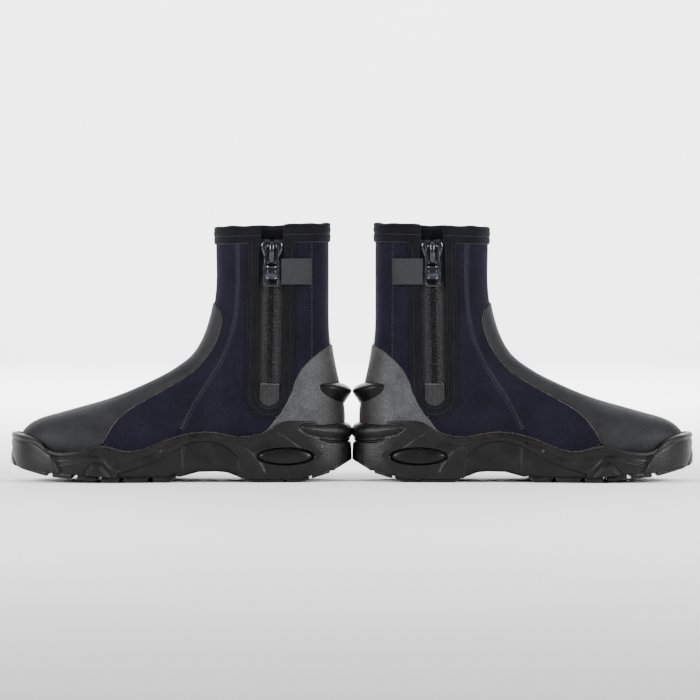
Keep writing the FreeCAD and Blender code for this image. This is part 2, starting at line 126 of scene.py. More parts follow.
# --- numbers and curves --------------------------------------------------------------------------

def cubic(place, values, wanted):
    """A natural cubic spline through values at place, read at wanted."""
    place = np.asarray(place, float)
    values = np.asarray(values, float).reshape(len(place), -1)
    gap = np.diff(place)
    slope = np.diff(values, axis=0) / gap[:, None]
    system = np.eye(len(place))
    right = np.zeros_like(values)
    for i in range(1, len(place) - 1):
        system[i, i - 1:i + 2] = gap[i - 1], 2 * (gap[i - 1] + gap[i]), gap[i]
        right[i] = 6 * (slope[i] - slope[i - 1])
    bend = np.linalg.solve(system, right)
    wanted = np.clip(np.asarray(wanted, float).ravel(), place[0], place[-1])
    i = np.clip(np.searchsorted(place, wanted, side="right") - 1, 0, len(gap) - 1)
    step = gap[i][:, None]
    low = (place[i + 1] - wanted)[:, None] / step
    high = 1 - low
    return low * values[i] + high * values[i + 1] + (
        (low ** 3 - low) * bend[i] + (high ** 3 - high) * bend[i + 1]) * step ** 2 / 6


def lengths(points):
    """How far along a line of points each one is."""
    return np.concatenate([[0.0], np.cumsum(np.linalg.norm(np.diff(points, axis=0), axis=1))])


def resample(points, count):
    """count evenly spaced points on a line of points."""
    far = lengths(points)
    wanted = np.linspace(0, far[-1], count)
    return np.stack([np.interp(wanted, far, points[:, axis]) for axis in range(points.shape[1])], axis=1)


def smooth_line(points, count=400, closed=False):
    """Evenly spaced points on a smooth curve through the given ones."""
    points = np.array(points, float)
    if closed:
        points = np.concatenate([points[-3:], points, points[:4]])
    far = lengths(points)
    first, last = (far[3], far[-4]) if closed else (0, far[-1])
    return resample(cubic(far, points, np.linspace(first, last, count * 4)), count)


def smoothstep(value):
    value = np.clip(value, 0, 1)
    return value * value * (3 - 2 * value)


def bump(distance, width):
    return np.exp(-(distance / width) ** 2)


def line_distance(x, z, line):
    """Distance in side view from each x, z to a line of points."""
    line = np.array(line, float)
    best = np.full(x.shape, 1e9)
    for start, end in zip(line, line[1:]):
        run = end - start
        share = np.clip(((x - start[0]) * run[0] + (z - start[1]) * run[1]) / (run @ run), 0, 1)
        best = np.minimum(best, np.hypot(x - start[0] - share * run[0], z - start[1] - share * run[1]))
    return best


def depth_inside(x, z, outline):
    """Distance to an outline's edge in side view: positive inside it, negative outside."""
    outline = np.array(outline, float)
    ring = np.concatenate([outline, outline[:1]])
    inside = np.zeros(x.shape, bool)
    for (x0, z0), (x1, z1) in zip(ring, ring[1:]):
        crosses = (z0 > z) != (z1 > z)
        with np.errstate(divide="ignore", invalid="ignore"):
            at = x0 + (z - z0) * (x1 - x0) / (z1 - z0)
        inside ^= crosses & (x < at)
    distance = line_distance(x, z, ring)
    return np.where(inside, distance, -distance)


# --- the form as a table -------------------------------------------------------------------------

def signed_power(value, power):
    return np.sign(value) * np.abs(value) ** power


def rounded_ring(turns, power):
    """A squarish ring of directions: 1 gives a circle, and less gives fuller corners."""
    angles = np.linspace(0, 2 * math.pi, turns + 1)[:-1]
    return signed_power(np.cos(angles), power), signed_power(np.sin(angles), power)


def form_table():
    """Points of the outer surface. Rows run from the collar to the toe. Columns run round the boot
    from the back, past the medial side, the front and the lateral side, to the back again."""
    sections = np.array(SECTIONS)
    steps = [np.mean([math.dist(a[0:2], b[0:2]), math.dist(a[2:4], b[2:4])])
             for a, b in zip(sections, sections[1:])]
    place = np.concatenate([[0.0], np.cumsum(steps)])
    rows = cubic(place, sections, np.linspace(0, place[-1], ROWS))
    table = np.zeros((ROWS, COLUMNS + 1, 3))
    half = COLUMNS // 2
    angles = np.linspace(0, math.pi, 1200)
    for number, (fx, fz, bx, bz, medial, lateral, widest, upper, lower) in enumerate(rows):
        middle = np.array([(fx + bx) / 2, 0, (fz + bz) / 2])
        along = np.array([(fx - bx) / 2, 0, (fz - bz) / 2])
        power = np.where(np.cos(angles) > 0, upper, lower)
        reach = np.where(np.cos(angles) > 0, 1 - widest, 1 + widest)
        share = widest + reach * signed_power(np.cos(angles), 2 / power)
        side = np.abs(np.sin(angles)) ** (2 / power)
        for sign, width in ((1, lateral), (-1, medial)):
            line = middle + share[:, None] * along
            line[:, 1] = sign * width * side
            line = resample(line, half + 1)
            if sign > 0:
                table[number, half:] = line
            else:
                table[number, :half + 1] = line[::-1]
    return place[-1], table


FORM_LENGTH, FORM = form_table()
ROW_STEP = FORM_LENGTH / (ROWS - 1)


def table_normals(table):
    down = np.gradient(table, axis=0)
    wrapped = np.concatenate([table[:, -2:-1], table, table[:, 1:2]], axis=1)
    round_ = (wrapped[:, 2:] - wrapped[:, :-2]) / 2
    normal = np.cross(round_, down)
    size = np.linalg.norm(normal, axis=2, keepdims=True)
    normal = normal / np.maximum(size, 1e-9)
    middle = table.mean(axis=1, keepdims=True)
    if np.mean(np.sum(normal * (table - middle), axis=2)) < 0:
        normal = -normal
    return normal


def soften_form():
    """Shallow, slow waves in the neoprene, away from the flat panel that carries the zip."""
    row = np.arange(ROWS)[:, None] * ROW_STEP
    x, y, z = FORM[..., 0], FORM[..., 1], FORM[..., 2]
    wave = (0.45 * np.sin(z / 17.0 + 1.3 * np.sin(x / 31.0) + y / 23.0)
            + 0.35 * np.sin(x / 13.0 + z / 29.0 + 1.9 * np.sin(y / 19.0)))
    away_from_zip = np.where(y < 0, smoothstep((np.abs(x - ZIP_X) - 22) / 20), 1.0)
    leg = smoothstep((row - 25) / 40) * smoothstep((FORM_LENGTH - row) / 60)
    return FORM + FORM_NORMAL * (wave * away_from_zip * leg)[..., None]


FORM_NORMAL = table_normals(FORM)
FORM = soften_form()
FORM_NORMAL = table_normals(FORM)


def read(table, row, column):
    """A table's value at row and column places: row in mm down the form, column from -0.5 to 0.5."""
    row, column = np.broadcast_arrays(np.asarray(row, float), np.asarray(column, float))
    at = np.clip(row / ROW_STEP, 0, ROWS - 1.001)
    across = np.mod(column + 0.5, 1.0) * COLUMNS
    i, j = at.astype(int), np.minimum(across.astype(int), COLUMNS - 1)
    down, over = (at - i)[..., None], (across - j)[..., None]
    top = table[i, j] * (1 - over) + table[i, j + 1] * over
    low = table[i + 1, j] * (1 - over) + table[i + 1, j + 1] * over
    return top * (1 - down) + low * down


def skin(row, column, lift=0.0):
    """Points on the outer surface, or lifted off it."""
    lift = np.asarray(lift, float)
    return read(FORM, row, column) + read(FORM_NORMAL, row, column) * lift[..., None]


def locate(points, side):
    """Row and column places of side-view points on the medial (-1) or the lateral (1) side."""
    points = np.asarray(points, float).reshape(-1, 2)
    half = COLUMNS // 2
    front, back = FORM[:, half][:, [0, 2]], FORM[:, 0][:, [0, 2]]
    run = front - back
    rows, columns = np.zeros(len(points)), np.zeros(len(points))
    columns_here = np.linspace(-0.5, 0.0, half + 1)
    for number, point in enumerate(points):
        offset = point - back
        cross = run[:, 0] * offset[:, 1] - run[:, 1] * offset[:, 0]
        share = np.sum(offset * run, axis=1) / np.sum(run * run, axis=1)
        change = np.nonzero((cross[:-1] * cross[1:] <= 0))[0]
        good = [i for i in change if -0.3 < share[i] < 1.3]
        if good:
            i = min(good, key=lambda n: abs(share[n] - 0.5))
            at = i + cross[i] / (cross[i] - cross[i + 1] + 1e-12)
        else:
            at = float(np.argmin(np.abs(cross) / np.linalg.norm(run, axis=1)))
        i = int(min(at, ROWS - 2))
        line = FORM[i] * (1 - (at - i)) + FORM[i + 1] * (at - i)
        line = line[:half + 1] if side < 0 else line[half:][::-1]
        b, f = line[0][[0, 2]], line[-1][[0, 2]]
        shares = (line[:, [0, 2]] - b) @ (f - b) / ((f - b) @ (f - b))
        shares = np.maximum.accumulate(shares)
        here = np.interp(((point - b) @ (f - b)) / ((f - b) @ (f - b)), shares, columns_here)
        rows[number] = at * ROW_STEP
        columns[number] = here * -side
    return rows, columns


def locate_grid(points):
    """Row and column places of a grid of side-view points on the medial side."""
    rows, columns = locate(points, -1)
    return rows.reshape(points.shape[:2]), columns.reshape(points.shape[:2])


def side_edge(points, side):
    """A seam or an edge, given in side view, as a function from row place to column place."""
    rows, columns = locate(smooth_line(points, 160), side)
    order = np.argsort(rows)
    rows, columns = rows[order], columns[order]
    return lambda wanted: np.interp(wanted, rows, columns)


def row_at(x, z):
    """The row place whose front or back line passes through a side-view point."""
    return float(locate([(x, z)], -1)[0][0])


HEM = [(x, z - 12) for x, z in SOLE_TOP]


# --- meshes --------------------------------------------------------------------------------------

class Shape:
    """Vertices in mm and faces, gathered from grids."""

    def __init__(self):
        self.points, self.faces, self.places, self.count = [], [], [], 0

    def add(self, points, faces, places=None):
        points = np.asarray(points, float).reshape(-1, 3)
        places = 0 * points if places is None else np.asarray(places).reshape(-1, 3)
        self.points.append(points)
        self.places.append(places)
        self.faces.extend([[int(n) + self.count for n in face] for face in faces])
        self.count += len(points)
        return self

    def arrays(self):
        return np.concatenate(self.points), self.faces, np.concatenate(self.places)


def grid_faces(rows, columns, wrap=False, flip=False, start=0):
    i = np.arange(rows - 1)[:, None]
    j = np.arange(columns if wrap else columns - 1)[None, :]
    k = (j + 1) % columns
    quads = np.stack(np.broadcast_arrays(
        i * columns + j, i * columns + k, (i + 1) * columns + k, (i + 1) * columns + j), axis=-1)
    quads = quads.reshape(-1, 4) + start
    if flip:
        quads = quads[:, ::-1]
    return quads.tolist()


def tube_faces(rows, columns):
    """Faces of a grid that closes round its columns, with both ends capped."""
    last = (rows - 1) * columns
    caps = [list(range(columns)), [last + n for n in range(columns)][::-1]]
    return grid_faces(rows, columns, wrap=True) + caps


def border(rows, columns):
    """Indices round a grid's rim, in order."""
    top = list(range(columns))
    right = [i * columns + columns - 1 for i in range(1, rows)]
    low = [(rows - 1) * columns + j for j in range(columns - 2, -1, -1)]
    left = [i * columns for i in range(rows - 2, 0, -1)]
    return top + right + low + left


def sheet(outer, inner, places):
    """A closed thin shell between two grids of the same size."""
    rows, columns = outer.shape[:2]
    size = rows * columns
    faces = grid_faces(rows, columns) + grid_faces(rows, columns, flip=True, start=size)
    rim = border(rows, columns)
    faces += [[b, a, a + size, b + size] for a, b in zip(rim, rim[1:] + rim[:1])]
    return Shape().add(np.stack([outer, inner]), faces, np.stack([places, places]))


EDGE_STEPS = np.array([0, 0.25, 0.6, 1.0, 1.5, 2.1, 2.9])


def spread(left, right, width, count):
    """Column places between two edges for each row, close together near the edges, and the distance
    in mm of each from the nearer edge. width is the span of each row in mm."""
    inner = np.linspace(0, 1, count)
    near = np.minimum(EDGE_STEPS / np.maximum(width[:, None], 1e-6), 0.35 * EDGE_STEPS / EDGE_STEPS[-1])
    middle = near[:, -1:] + (1 - 2 * near[:, -1:]) * inner
    share = np.concatenate([near[:, :-1], middle, 1 - near[:, -2::-1]], axis=1)
    places = left[:, None] + (right - left)[:, None] * share
    distance = np.minimum(share, 1 - share) * width[:, None]
    return places, distance


def span(rows, left, right):
    """The length in mm along each row between two column places."""
    share = np.linspace(0, 1, 40)
    points = skin(rows[:, None], left[:, None] + (right - left)[:, None] * share[None, :])
    return np.linalg.norm(np.diff(points, axis=1), axis=2).sum(axis=1)


def make(name, shape, material, mirrored):
    """A Blender object from a shape in mm, mirrored about x = 0 for the right boot."""
    points, faces, places = shape.arrays()
    points = points * MM
    if mirrored:
        points = points * np.array([-1, 1, 1])
        faces = [face[::-1] for face in faces]
    mesh = bpy.data.meshes.new(name)
    mesh.from_pydata(points.tolist(), [], faces)
    attribute = mesh.attributes.new("place", "FLOAT_VECTOR", "POINT")
    attribute.data.foreach_set("vector", (places * MM).astype(np.float32).ravel())
    mesh.validate()
    cleaner = bmesh.new()
    cleaner.from_mesh(mesh)
    bmesh.ops.remove_doubles(cleaner, verts=cleaner.verts, dist=1e-6)
    bmesh.ops.dissolve_degenerate(cleaner, edges=cleaner.edges, dist=1e-7)
    bmesh.ops.recalc_face_normals(cleaner, faces=cleaner.faces)
    cleaner.to_mesh(mesh)
    cleaner.free()
    mesh.shade_smooth()
    mesh.materials.append(material)
    made = bpy.data.objects.new(name, mesh)
    bpy.context.scene.collection.objects.link(made)
    return made


def pair(name, shape, material, nodes=(), part="boot"):
    """The same piece on both boots. nodes are the CAD nodes that it stands for."""
    for side in ("left", "right"):
        piece = make(f"{side}_{name}", shape, material, mirrored=side == "right")
        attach(piece, f"{side}_{part}")
        if nodes:
            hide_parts(*[f"{side}_{node}" for node in nodes])


# --- materials -----------------------------------------------------------------------------------

class Nodes:
    """A short way to write a node tree."""

    def __init__(self, name):
        self.material = bpy.data.materials.new(name)
        self.material.use_nodes = True
        self.tree = self.material.node_tree
        self.shader = self.tree.nodes["Principled BSDF"]
        self.coordinates = self.tree.nodes.new("ShaderNodeTexCoord").outputs["Object"]

    def node(self, kind, **settings):
        made = self.tree.nodes.new(kind)
        for key, value in settings.items():
            setattr(made, key, value)
        return made

    def link(self, source, target):
        if isinstance(source, (int, float, tuple, list)):
            target.default_value = source
        else:
            self.tree.links.new(source, target)

    def place(self):
        return self.node("ShaderNodeAttribute", attribute_name="place").outputs["Vector"]

    def noise(self, size, detail=3.0, roughness=0.55):
        """Noise whose features are about size mm."""
        noise = self.node("ShaderNodeTexNoise")
        self.link(self.coordinates, noise.inputs["Vector"])
        noise.inputs["Scale"].default_value = 1 / (size * MM)
        noise.inputs["Detail"].default_value = detail
        noise.inputs["Roughness"].default_value = roughness
        return noise.outputs["Fac"]

    def cells(self, size, source=None, stretch=None):
        cells = self.node("ShaderNodeTexVoronoi")
        self.link(self.mapped(source or self.coordinates, stretch), cells.inputs["Vector"])
        cells.inputs["Scale"].default_value = 1 / (size * MM)
        return cells.outputs["Distance"]

    def wave(self, size, axis, source):
        wave = self.node("ShaderNodeTexWave", wave_type="BANDS", bands_direction=axis)
        self.link(source, wave.inputs["Vector"])
        wave.inputs["Scale"].default_value = math.pi / (10 * size * MM)
        return wave.outputs["Fac"]

    def mapped(self, source, stretch):
        if not stretch:
            return source
        mapping = self.node("ShaderNodeMapping")
        self.link(source, mapping.inputs["Vector"])
        mapping.inputs["Scale"].default_value = stretch
        return mapping.outputs["Vector"]

    def ramp(self, source, stops):
        ramp = self.node("ShaderNodeValToRGB")
        self.link(source, ramp.inputs["Fac"])
        for element, (position, color) in zip(ramp.color_ramp.elements, stops):
            element.position, element.color = position, (*color, 1)
        return ramp.outputs["Color"]

    def range(self, source, low, high, to_low, to_high):
        node = self.node("ShaderNodeMapRange")
        self.link(source, node.inputs["Value"])
        for key, value in (("From Min", low), ("From Max", high), ("To Min", to_low), ("To Max", to_high)):
            node.inputs[key].default_value = value
        return node.outputs["Result"]

    def math(self, operation, first, second=0.0):
        node = self.node("ShaderNodeMath", operation=operation)
        self.link(first, node.inputs[0])
        self.link(second, node.inputs[1])
        return node.outputs[0]

    def mix(self, share, first, second, blend="MIX"):
        node = self.node("ShaderNodeMix", data_type="RGBA", blend_type=blend)
        self.link(share, node.inputs["Factor"])
        for color, socket in ((first, node.inputs[6]), (second, node.inputs[7])):
            self.link((*color, 1) if isinstance(color, tuple) else color, socket)
        return node.outputs[2]

    def pick(self, source, axis):
        node = self.node("ShaderNodeSeparateXYZ")
        self.link(source, node.inputs[0])
        return node.outputs[axis]

    def bumps(self, *layers):
        """Each layer is a height and its depth in mm."""
        normal = None
        for height, depth in layers:
            bump_node = self.node("ShaderNodeBump")
            bump_node.inputs["Strength"].default_value = 1.0
            bump_node.inputs["Distance"].default_value = depth * MM
            self.link(height, bump_node.inputs["Height"])
            if normal:
                self.link(normal, bump_node.inputs["Normal"])
            normal = bump_node.outputs["Normal"]
        self.link(normal, self.shader.inputs["Normal"])

    def speckled(self, color, fine, stops, roughness, **uniform):
        """Ends a material whose colour is speckled by fine noise."""
        return self.finish(self.mix(1.0, color, self.ramp(fine, stops), "MULTIPLY"), roughness, **uniform)

    def finish(self, color, roughness, **uniform):
        self.link(color, self.shader.inputs["Base Color"])
        self.link(roughness, self.shader.inputs["Roughness"])
        for key, value in uniform.items():
            self.shader.inputs[key.replace("_", " ")].default_value = value
        return self.material


def knit_material(name, loop, stretch, fuzz_size, depths, drift, tones, stops, low_rough, **sheen):
    """Knitted nylon: near black with a blue cast, fine loops, fuzz and a soft sheen."""
    n = Nodes(name)
    loops = n.cells(loop, source=n.place(), stretch=(1.0, stretch, 1.0))
    fuzz = n.noise(fuzz_size, 4, 0.7)
    color = n.ramp(n.noise(*drift), [(0.3, tones[0]), (0.7, tones[1])])
    n.bumps((n.range(loops, 0, 0.8, 1, 0), depths[0]), (fuzz, depths[1]))
    return n.speckled(color, fuzz, stops, n.range(fuzz, 0.3, 0.7, low_rough, 0.95),
                      Specular_IOR_Level=0.07, **sheen)


def overlay_material():
    """Rubberised fabric on the instep: dark grey, finely embossed, a little worn and speckled."""
    n = Nodes("embossed_overlay")
    grain = n.cells(0.85)
    fine = n.noise(0.8, 5, 0.75)
    slow = n.noise(20, 3)
    color = n.ramp(slow, [(0.3, (0.0067, 0.0068, 0.0077)), (0.7, (0.0130, 0.0131, 0.0145))])
    n.bumps((grain, 0.14), (fine, 0.16))
    return n.speckled(color, fine, [(0.40, (0.45, 0.45, 0.45)), (0.70, (2.2, 2.2, 2.25))],
                      n.range(fine, 0.3, 0.7, 0.46, 0.68),
                    Specular_IOR_Level=0.13)


def counter_material():
    """Moulded grained rubber of the heel counter: mid grey, browner towards the back."""
    n = Nodes("grained_counter")
    grain = n.cells(1.1)
    fine = n.noise(0.9, 5, 0.75)
    back = n.range(n.pick(n.place(), 2), 0.014, 0.030, 0.0, 1.0)
    grey = n.ramp(n.noise(14, 4), [(0.3, (0.0288, 0.0288, 0.0324)), (0.7, (0.0504, 0.0504, 0.0554))])
    brown = n.ramp(n.noise(11, 4), [(0.3, (0.0109, 0.0092, 0.0084)), (0.7, (0.0176, 0.0151, 0.0139))])
    color = n.mix(back, brown, grey)
    n.bumps((grain, 0.22), (fine, 0.16))
    return n.speckled(color, fine, [(0.38, (0.45, 0.45, 0.45)), (0.70, (1.9, 1.9, 1.9))],
                      n.range(fine, 0.3, 0.7, 0.46, 0.7),
                    Specular_IOR_Level=0.13)


def rubber_material(name, dark, light, grain_size, depth, low_rough, high_rough, specular=0.15):
    """Moulded rubber with pebbled grain and rubbed, slightly dusty patches."""
    n = Nodes(name)
    pebbles = n.cells(grain_size)
    fine = n.noise(grain_size * 0.8, 5, 0.7)
    slow = n.noise(13, 5, 0.6)
    color = n.ramp(slow, [(0.32, dark), (0.68, light)])
    n.bumps((pebbles, depth), (fine, depth * 0.8), (slow, 0.25))
    return n.speckled(color, fine, [(0.40, (0.6, 0.6, 0.6)), (0.72, (1.7, 1.65, 1.6))],
                      n.range(slow, 0.3, 0.7, low_rough, high_rough),
                    Specular_IOR_Level=specular)


def gloss_material(name, dark, light, low_rough, high_rough, metallic=0.0, coat=0.0):
    """Moulded or enamelled gloss with faint wear."""
    n = Nodes(name)
    wear = n.noise(3.2, 5, 0.7)
    slow = n.noise(9, 3)
    color = n.ramp(wear, [(0.35, dark), (0.72, light)])
    n.bumps((slow, 0.06), (wear, 0.02))
    return n.finish(color, n.range(wear, 0.3, 0.75, low_rough, high_rough),
                    Metallic=metallic, Coat_Weight=coat, Coat_Roughness=0.12, Specular_IOR_Level=0.2)


def weave_material(name, dark, light, thread, depth, rough=0.9, sheen=0.05, specular=0.15):
    """Woven tape or webbing, its threads along and across the piece."""
    n = Nodes(name)
    place = n.place()
    across = n.wave(thread, "X", place)
    along = n.wave(thread, "Y", place)
    fuzz = n.noise(0.9, 4, 0.7)
    weave = n.math("MAXIMUM", across, along)
    color = n.mix(n.range(fuzz, 0.35, 0.7, 0, 1), dark, light)
    shade = n.ramp(weave, [(0.3, (0.55, 0.55, 0.55)), (0.9, (1.25, 1.25, 1.25))])
    n.bumps((weave, depth), (fuzz, 0.08))
    return n.finish(n.mix(1.0, color, shade, "MULTIPLY"), n.range(fuzz, 0.3, 0.7, rough - 0.12, rough),
                    Sheen_Weight=sheen, Sheen_Roughness=0.5, Specular_IOR_Level=specular)


def foam_material():
    n = Nodes("foam")
    cells = n.cells(0.7)
    slow = n.noise(10, 4)
    color = n.ramp(slow, [(0.3, (0.022, 0.022, 0.024)), (0.7, (0.040, 0.040, 0.043))])
    n.bumps((cells, 0.2), (n.noise(1.0, 4), 0.1))
    return n.finish(color, n.range(slow, 0.3, 0.7, 0.85, 0.97))


def floor_material():
    n = Nodes("floor")
    slow = n.noise(400, 2)
    color = n.ramp(slow, [(0.3, (0.90, 0.90, 0.905)), (0.7, (0.93, 0.93, 0.935))])
    n.bumps((n.noise(2.0, 3), 0.02))
    return n.finish(color, n.range(slow, 0.3, 0.7, 0.7, 0.8))


KNIT = knit_material(
    "nylon_knit", 0.75, 1.45, 0.9, (0.16, 0.12), (26, 3, 0.5),
    [(0.0037, 0.0035, 0.0065), (0.0062, 0.0059, 0.0106)],
    [(0.42, (0.55, 0.55, 0.6)), (0.66, (1.9, 1.95, 2.1))], 0.78,
    Sheen_Weight=0.07, Sheen_Roughness=0.4, Sheen_Tint=(0.5, 0.5, 0.85, 1))
BINDING_CLOTH = knit_material(
    "stretch_binding", 0.6, 1.8, 1.1, (0.14, 0.10), (15, 3),
    [(0.0024, 0.0024, 0.0031), (0.0043, 0.0043, 0.0055)],
    [(0.4, (0.6, 0.6, 0.6)), (0.68, (1.7, 1.7, 1.75))], 0.8,
    Sheen_Weight=0.08, Sheen_Roughness=0.5, Sheen_Tint=(0.6, 0.6, 0.8, 1))
OVERLAY_RUBBER = overlay_material()
COUNTER_RUBBER = counter_material()
SOLE_RUBBER = rubber_material(
    "sole_rubber", (0.0016, 0.0016, 0.0019), (0.0046, 0.0043, 0.0043), 1.0, 0.20, 0.26, 0.44, 0.21)
TAB_RUBBER = rubber_material(
    "tab_rubber", (0.0020, 0.0020, 0.0021), (0.0036, 0.0035, 0.0035), 1.2, 0.05, 0.26, 0.38)
INSERT_RUBBER = rubber_material(
    "insert_rubber", (0.0025, 0.0025, 0.0026), (0.0055, 0.0053, 0.0051), 1.1, 0.08, 0.28, 0.4)
TOOTH_PLASTIC = gloss_material(
    "tooth_plastic", (0.0024, 0.0024, 0.0026), (0.0060, 0.0058, 0.0056), 0.16, 0.34, coat=0.3)
SLIDER_ENAMEL = gloss_material("slider_enamel", (0.012, 0.0135, 0.017), (0.040, 0.046, 0.058), 0.14, 0.28,
                               metallic=0.85, coat=0.4)
TAPE_WEAVE = weave_material("zip_tape_weave", (0.0018, 0.0018, 0.0022), (0.0051, 0.0051, 0.0060), 0.6, 0.14,
                            rough=0.34, sheen=0.0, specular=0.2)
WEBBING = weave_material(
    "webbing_weave", (0.0130, 0.0130, 0.0151), (0.0259, 0.0259, 0.0302), 0.8, 0.16, rough=0.92)
THREAD = weave_material("thread", (0.0180, 0.0192, 0.0252), (0.0450, 0.0468, 0.0588), 0.4, 0.05, rough=0.75)
# Pale brown threads along bonded edges: partly the fray's own colour, and partly a painted highlight along the
# rolled edges and the sole's lip.
EDGE_FRAY_AND_HIGHLIGHT = weave_material(
    "edge_fray_and_painted_highlight", (0.0400, 0.0328, 0.0272), (0.1280, 0.1080, 0.0920), 0.4, 0.08, rough=0.85)
FOAM = foam_material()


# --- upper ---------------------------------------------------------------------------------------

front_medial = side_edge(FRONT_SEAM, -1)
front_lateral = side_edge(FRONT_SEAM, 1)
rear_medial = side_edge(REAR_SEAM, -1)
rear_lateral = side_edge(REAR_SEAM, 1)
hem_medial = side_edge(HEM, -1)
hem_lateral = side_edge(HEM, 1)
HEM_ROW = row_at(20, 38)
SEAM_DIP = 0.8
SEAM_REACH = 2.6
BOND_DEPTH = 1.2         # how deep a bonded layer reaches into what it lies on


def seam_lift(distance):
    """The surface dips into the glued seam between two panels."""
    return -SEAM_DIP * (1 - smoothstep(distance / SEAM_REACH))


def places_for(rows, columns):
    """Two lengths in mm over the surface, for patterns that follow it, plus the side-view x."""
    points = skin(rows, columns)
    along = np.broadcast_to(rows, points.shape[:2])
    over = np.concatenate([np.zeros((points.shape[0], 1)),
                           np.cumsum(np.linalg.norm(np.diff(points, axis=1), axis=2), axis=1)], axis=1)
    return np.stack([over, along, points[..., 0]], axis=-1)


def limit_to_hem(rows, seam, hem):
    """A seam's column place, or the hem's where the row ends there first. Both on one side."""
    return np.where((rows > HEM_ROW) & (np.abs(hem) < np.abs(seam)), hem, seam)


def band(rows, left, right, count, lift, depth, top=False):
    """A shell between two column places. lift is a function of the distance from the nearer edge,
    and top counts the first row as an edge too."""
    columns, distance = spread(left, right, span(rows, left, right), count)
    if top:
        distance = np.minimum(distance, (rows - rows[0])[:, None])
    down = rows[:, None]
    return sheet(skin(down, columns, lift(distance)), skin(down, columns, -depth), places_for(down, columns))


def vamp():
    rows = np.linspace(0, FORM_LENGTH, 230)
    left = limit_to_hem(rows, front_medial(rows), hem_medial(rows))
    right = limit_to_hem(rows, front_lateral(rows), hem_lateral(rows))
    return band(rows, left, right, 60, seam_lift, NEOPRENE)


def lateral_panel():
    rows = np.linspace(0, row_at(150, 40), 170)
    left = front_lateral(rows)
    right = limit_to_hem(rows, rear_lateral(rows), hem_lateral(rows))
    return band(rows, left, np.maximum(right, left + 0.001), 50, seam_lift, NEOPRENE)


def rear_panel():
    rows = np.linspace(0, row_at(12, 34), 150)
    return band(rows, rear_lateral(rows), 1 + rear_medial(rows), 40, seam_lift, NEOPRENE)


def u_line(half, bottom, top, count):
    """Side-view points down, round and up a U about the zip's centre line."""
    centre = bottom + half
    turn = np.linspace(math.pi, 2 * math.pi, 60)
    line = [(-half, top)] + [(half * math.cos(a), centre + half * math.sin(a)) for a in turn] + [(half, top)]
    return untilt(resample(np.array(line), count))


def untilt(line):
    """From the zip's own upright x, z to the boot's side view."""
    x, z = line[:, 0], line[:, 1] - ZIP_PIVOT_Z
    cos, sin = math.cos(ZIP_TILT), math.sin(ZIP_TILT)
    return np.stack([ZIP_X + x * cos + z * sin, ZIP_PIVOT_Z - x * sin + z * cos], axis=1)


def medial_panel():
    """The panel round the zip's slot, ruled from the slot's edge out to the seams and the hem."""
    count = 150
    inner = u_line(SLOT_HALF, SLOT_BOTTOM, 226.0, count)
    hem = smooth_line(HEM, 600)
    rear = smooth_line(REAR_SEAM, 400)
    front = smooth_line(FRONT_SEAM, 400)
    rear = rear[rear[:, 1] < 225.0]
    rear = rear[rear[:, 1] > np.interp(36.5, hem[:, 0], hem[:, 1])]
    front = front[front[:, 1] < 222.5]
    front = front[front[:, 1] > np.interp(150, hem[:, 0], hem[:, 1])]
    floor = hem[(hem[:, 0] > rear[-1, 0]) & (hem[:, 0] < front[-1, 0])]
    corners = [0, 0.36, 0.66, 1.0]
    parts = [rear, floor, front[::-1]]
    outer = np.concatenate([resample(part, int(round((b - a) * count)) + (n == 2))
                            for n, (part, a, b) in enumerate(zip(parts, corners, corners[1:]))])
    outer = at_index(outer, np.linspace(0, len(outer) - 1, count))
    near = np.array([0, 0.012, 0.03, 0.055, 0.09, 0.13])
    share = np.concatenate([near[:-1], np.linspace(near[-1], 1 - near[-1], 24), 1 - near[-2::-1]])
    points = inner[:, None] * (1 - share[None, :, None]) + outer[:, None] * share[None, :, None]
    gap = np.linalg.norm(outer - inner, axis=1)[:, None]
    lift = seam_lift((1 - share)[None, :] * gap) - 0.9 * (1 - smoothstep(share[None, :] * gap / 1.2))
    rows, columns = locate_grid(points)
    return sheet(skin(rows, columns, lift), skin(rows, columns, -NEOPRENE), points[..., [0, 1, 0]])


def at_index(line, index):
    """A line of x, z or x, y points, read at places between them."""
    return np.stack([np.interp(index, np.arange(len(line)), line[:, axis]) for axis in (0, 1)], axis=1)


def edge_lift(thickness, radius):
    """A bonded layer: rounded over at its edge, and sunk a little into what it lies on there."""
    def lift(distance):
        share = np.clip(distance / radius, 0, 1)
        return -0.5 + (thickness + 0.5) * np.sqrt(1 - (1 - share) ** 2)
    return lift


def edge_rows(first, last, count):
    """Row places that start close together."""
    share = np.linspace(0, 1, count)
    return first + (last - first) * (0.75 * share ** 1.6 + 0.25 * share ** 2)


overlay_medial = side_edge(OVERLAY_EDGE, -1)
overlay_lateral = side_edge(OVERLAY_EDGE, 1)
counter_medial = side_edge(COUNTER_EDGE, -1)
counter_lateral = side_edge(COUNTER_EDGE, 1)
OVERLAY_TOP_ROW = row_at(121, 157.3)
COUNTER_TOP_ROW = row_at(18.6, 119.8)


def instep_overlay():
    rows = edge_rows(OVERLAY_TOP_ROW, FORM_LENGTH, 230)
    left = limit_to_hem(rows, overlay_medial(rows), hem_medial(rows))
    right = limit_to_hem(rows, overlay_lateral(rows), hem_lateral(rows))
    return band(rows, left, right, 60, edge_lift(OVERLAY, 1.2), BOND_DEPTH, top=True)


def heel_counter():
    rows = edge_rows(COUNTER_TOP_ROW, row_at(79, 36), 150)
    left, right = counter_lateral(rows), 1 + counter_medial(rows)
    return band(rows, left, right, 60, edge_lift(COUNTER, 1.6), BOND_DEPTH, top=True)


def dense_path(points, side, step=1.0):
    """A side-view line as row and column places every step mm of its length."""
    line = smooth_line(points, 300)
    rows, columns = locate(line, side)
    inside = rows > 0.5
    rows, columns = rows[inside], columns[inside]
    far = lengths(skin(rows, columns))
    wanted = np.arange(0, far[-1], step)
    return np.interp(wanted, far, rows), np.interp(wanted, far, columns)


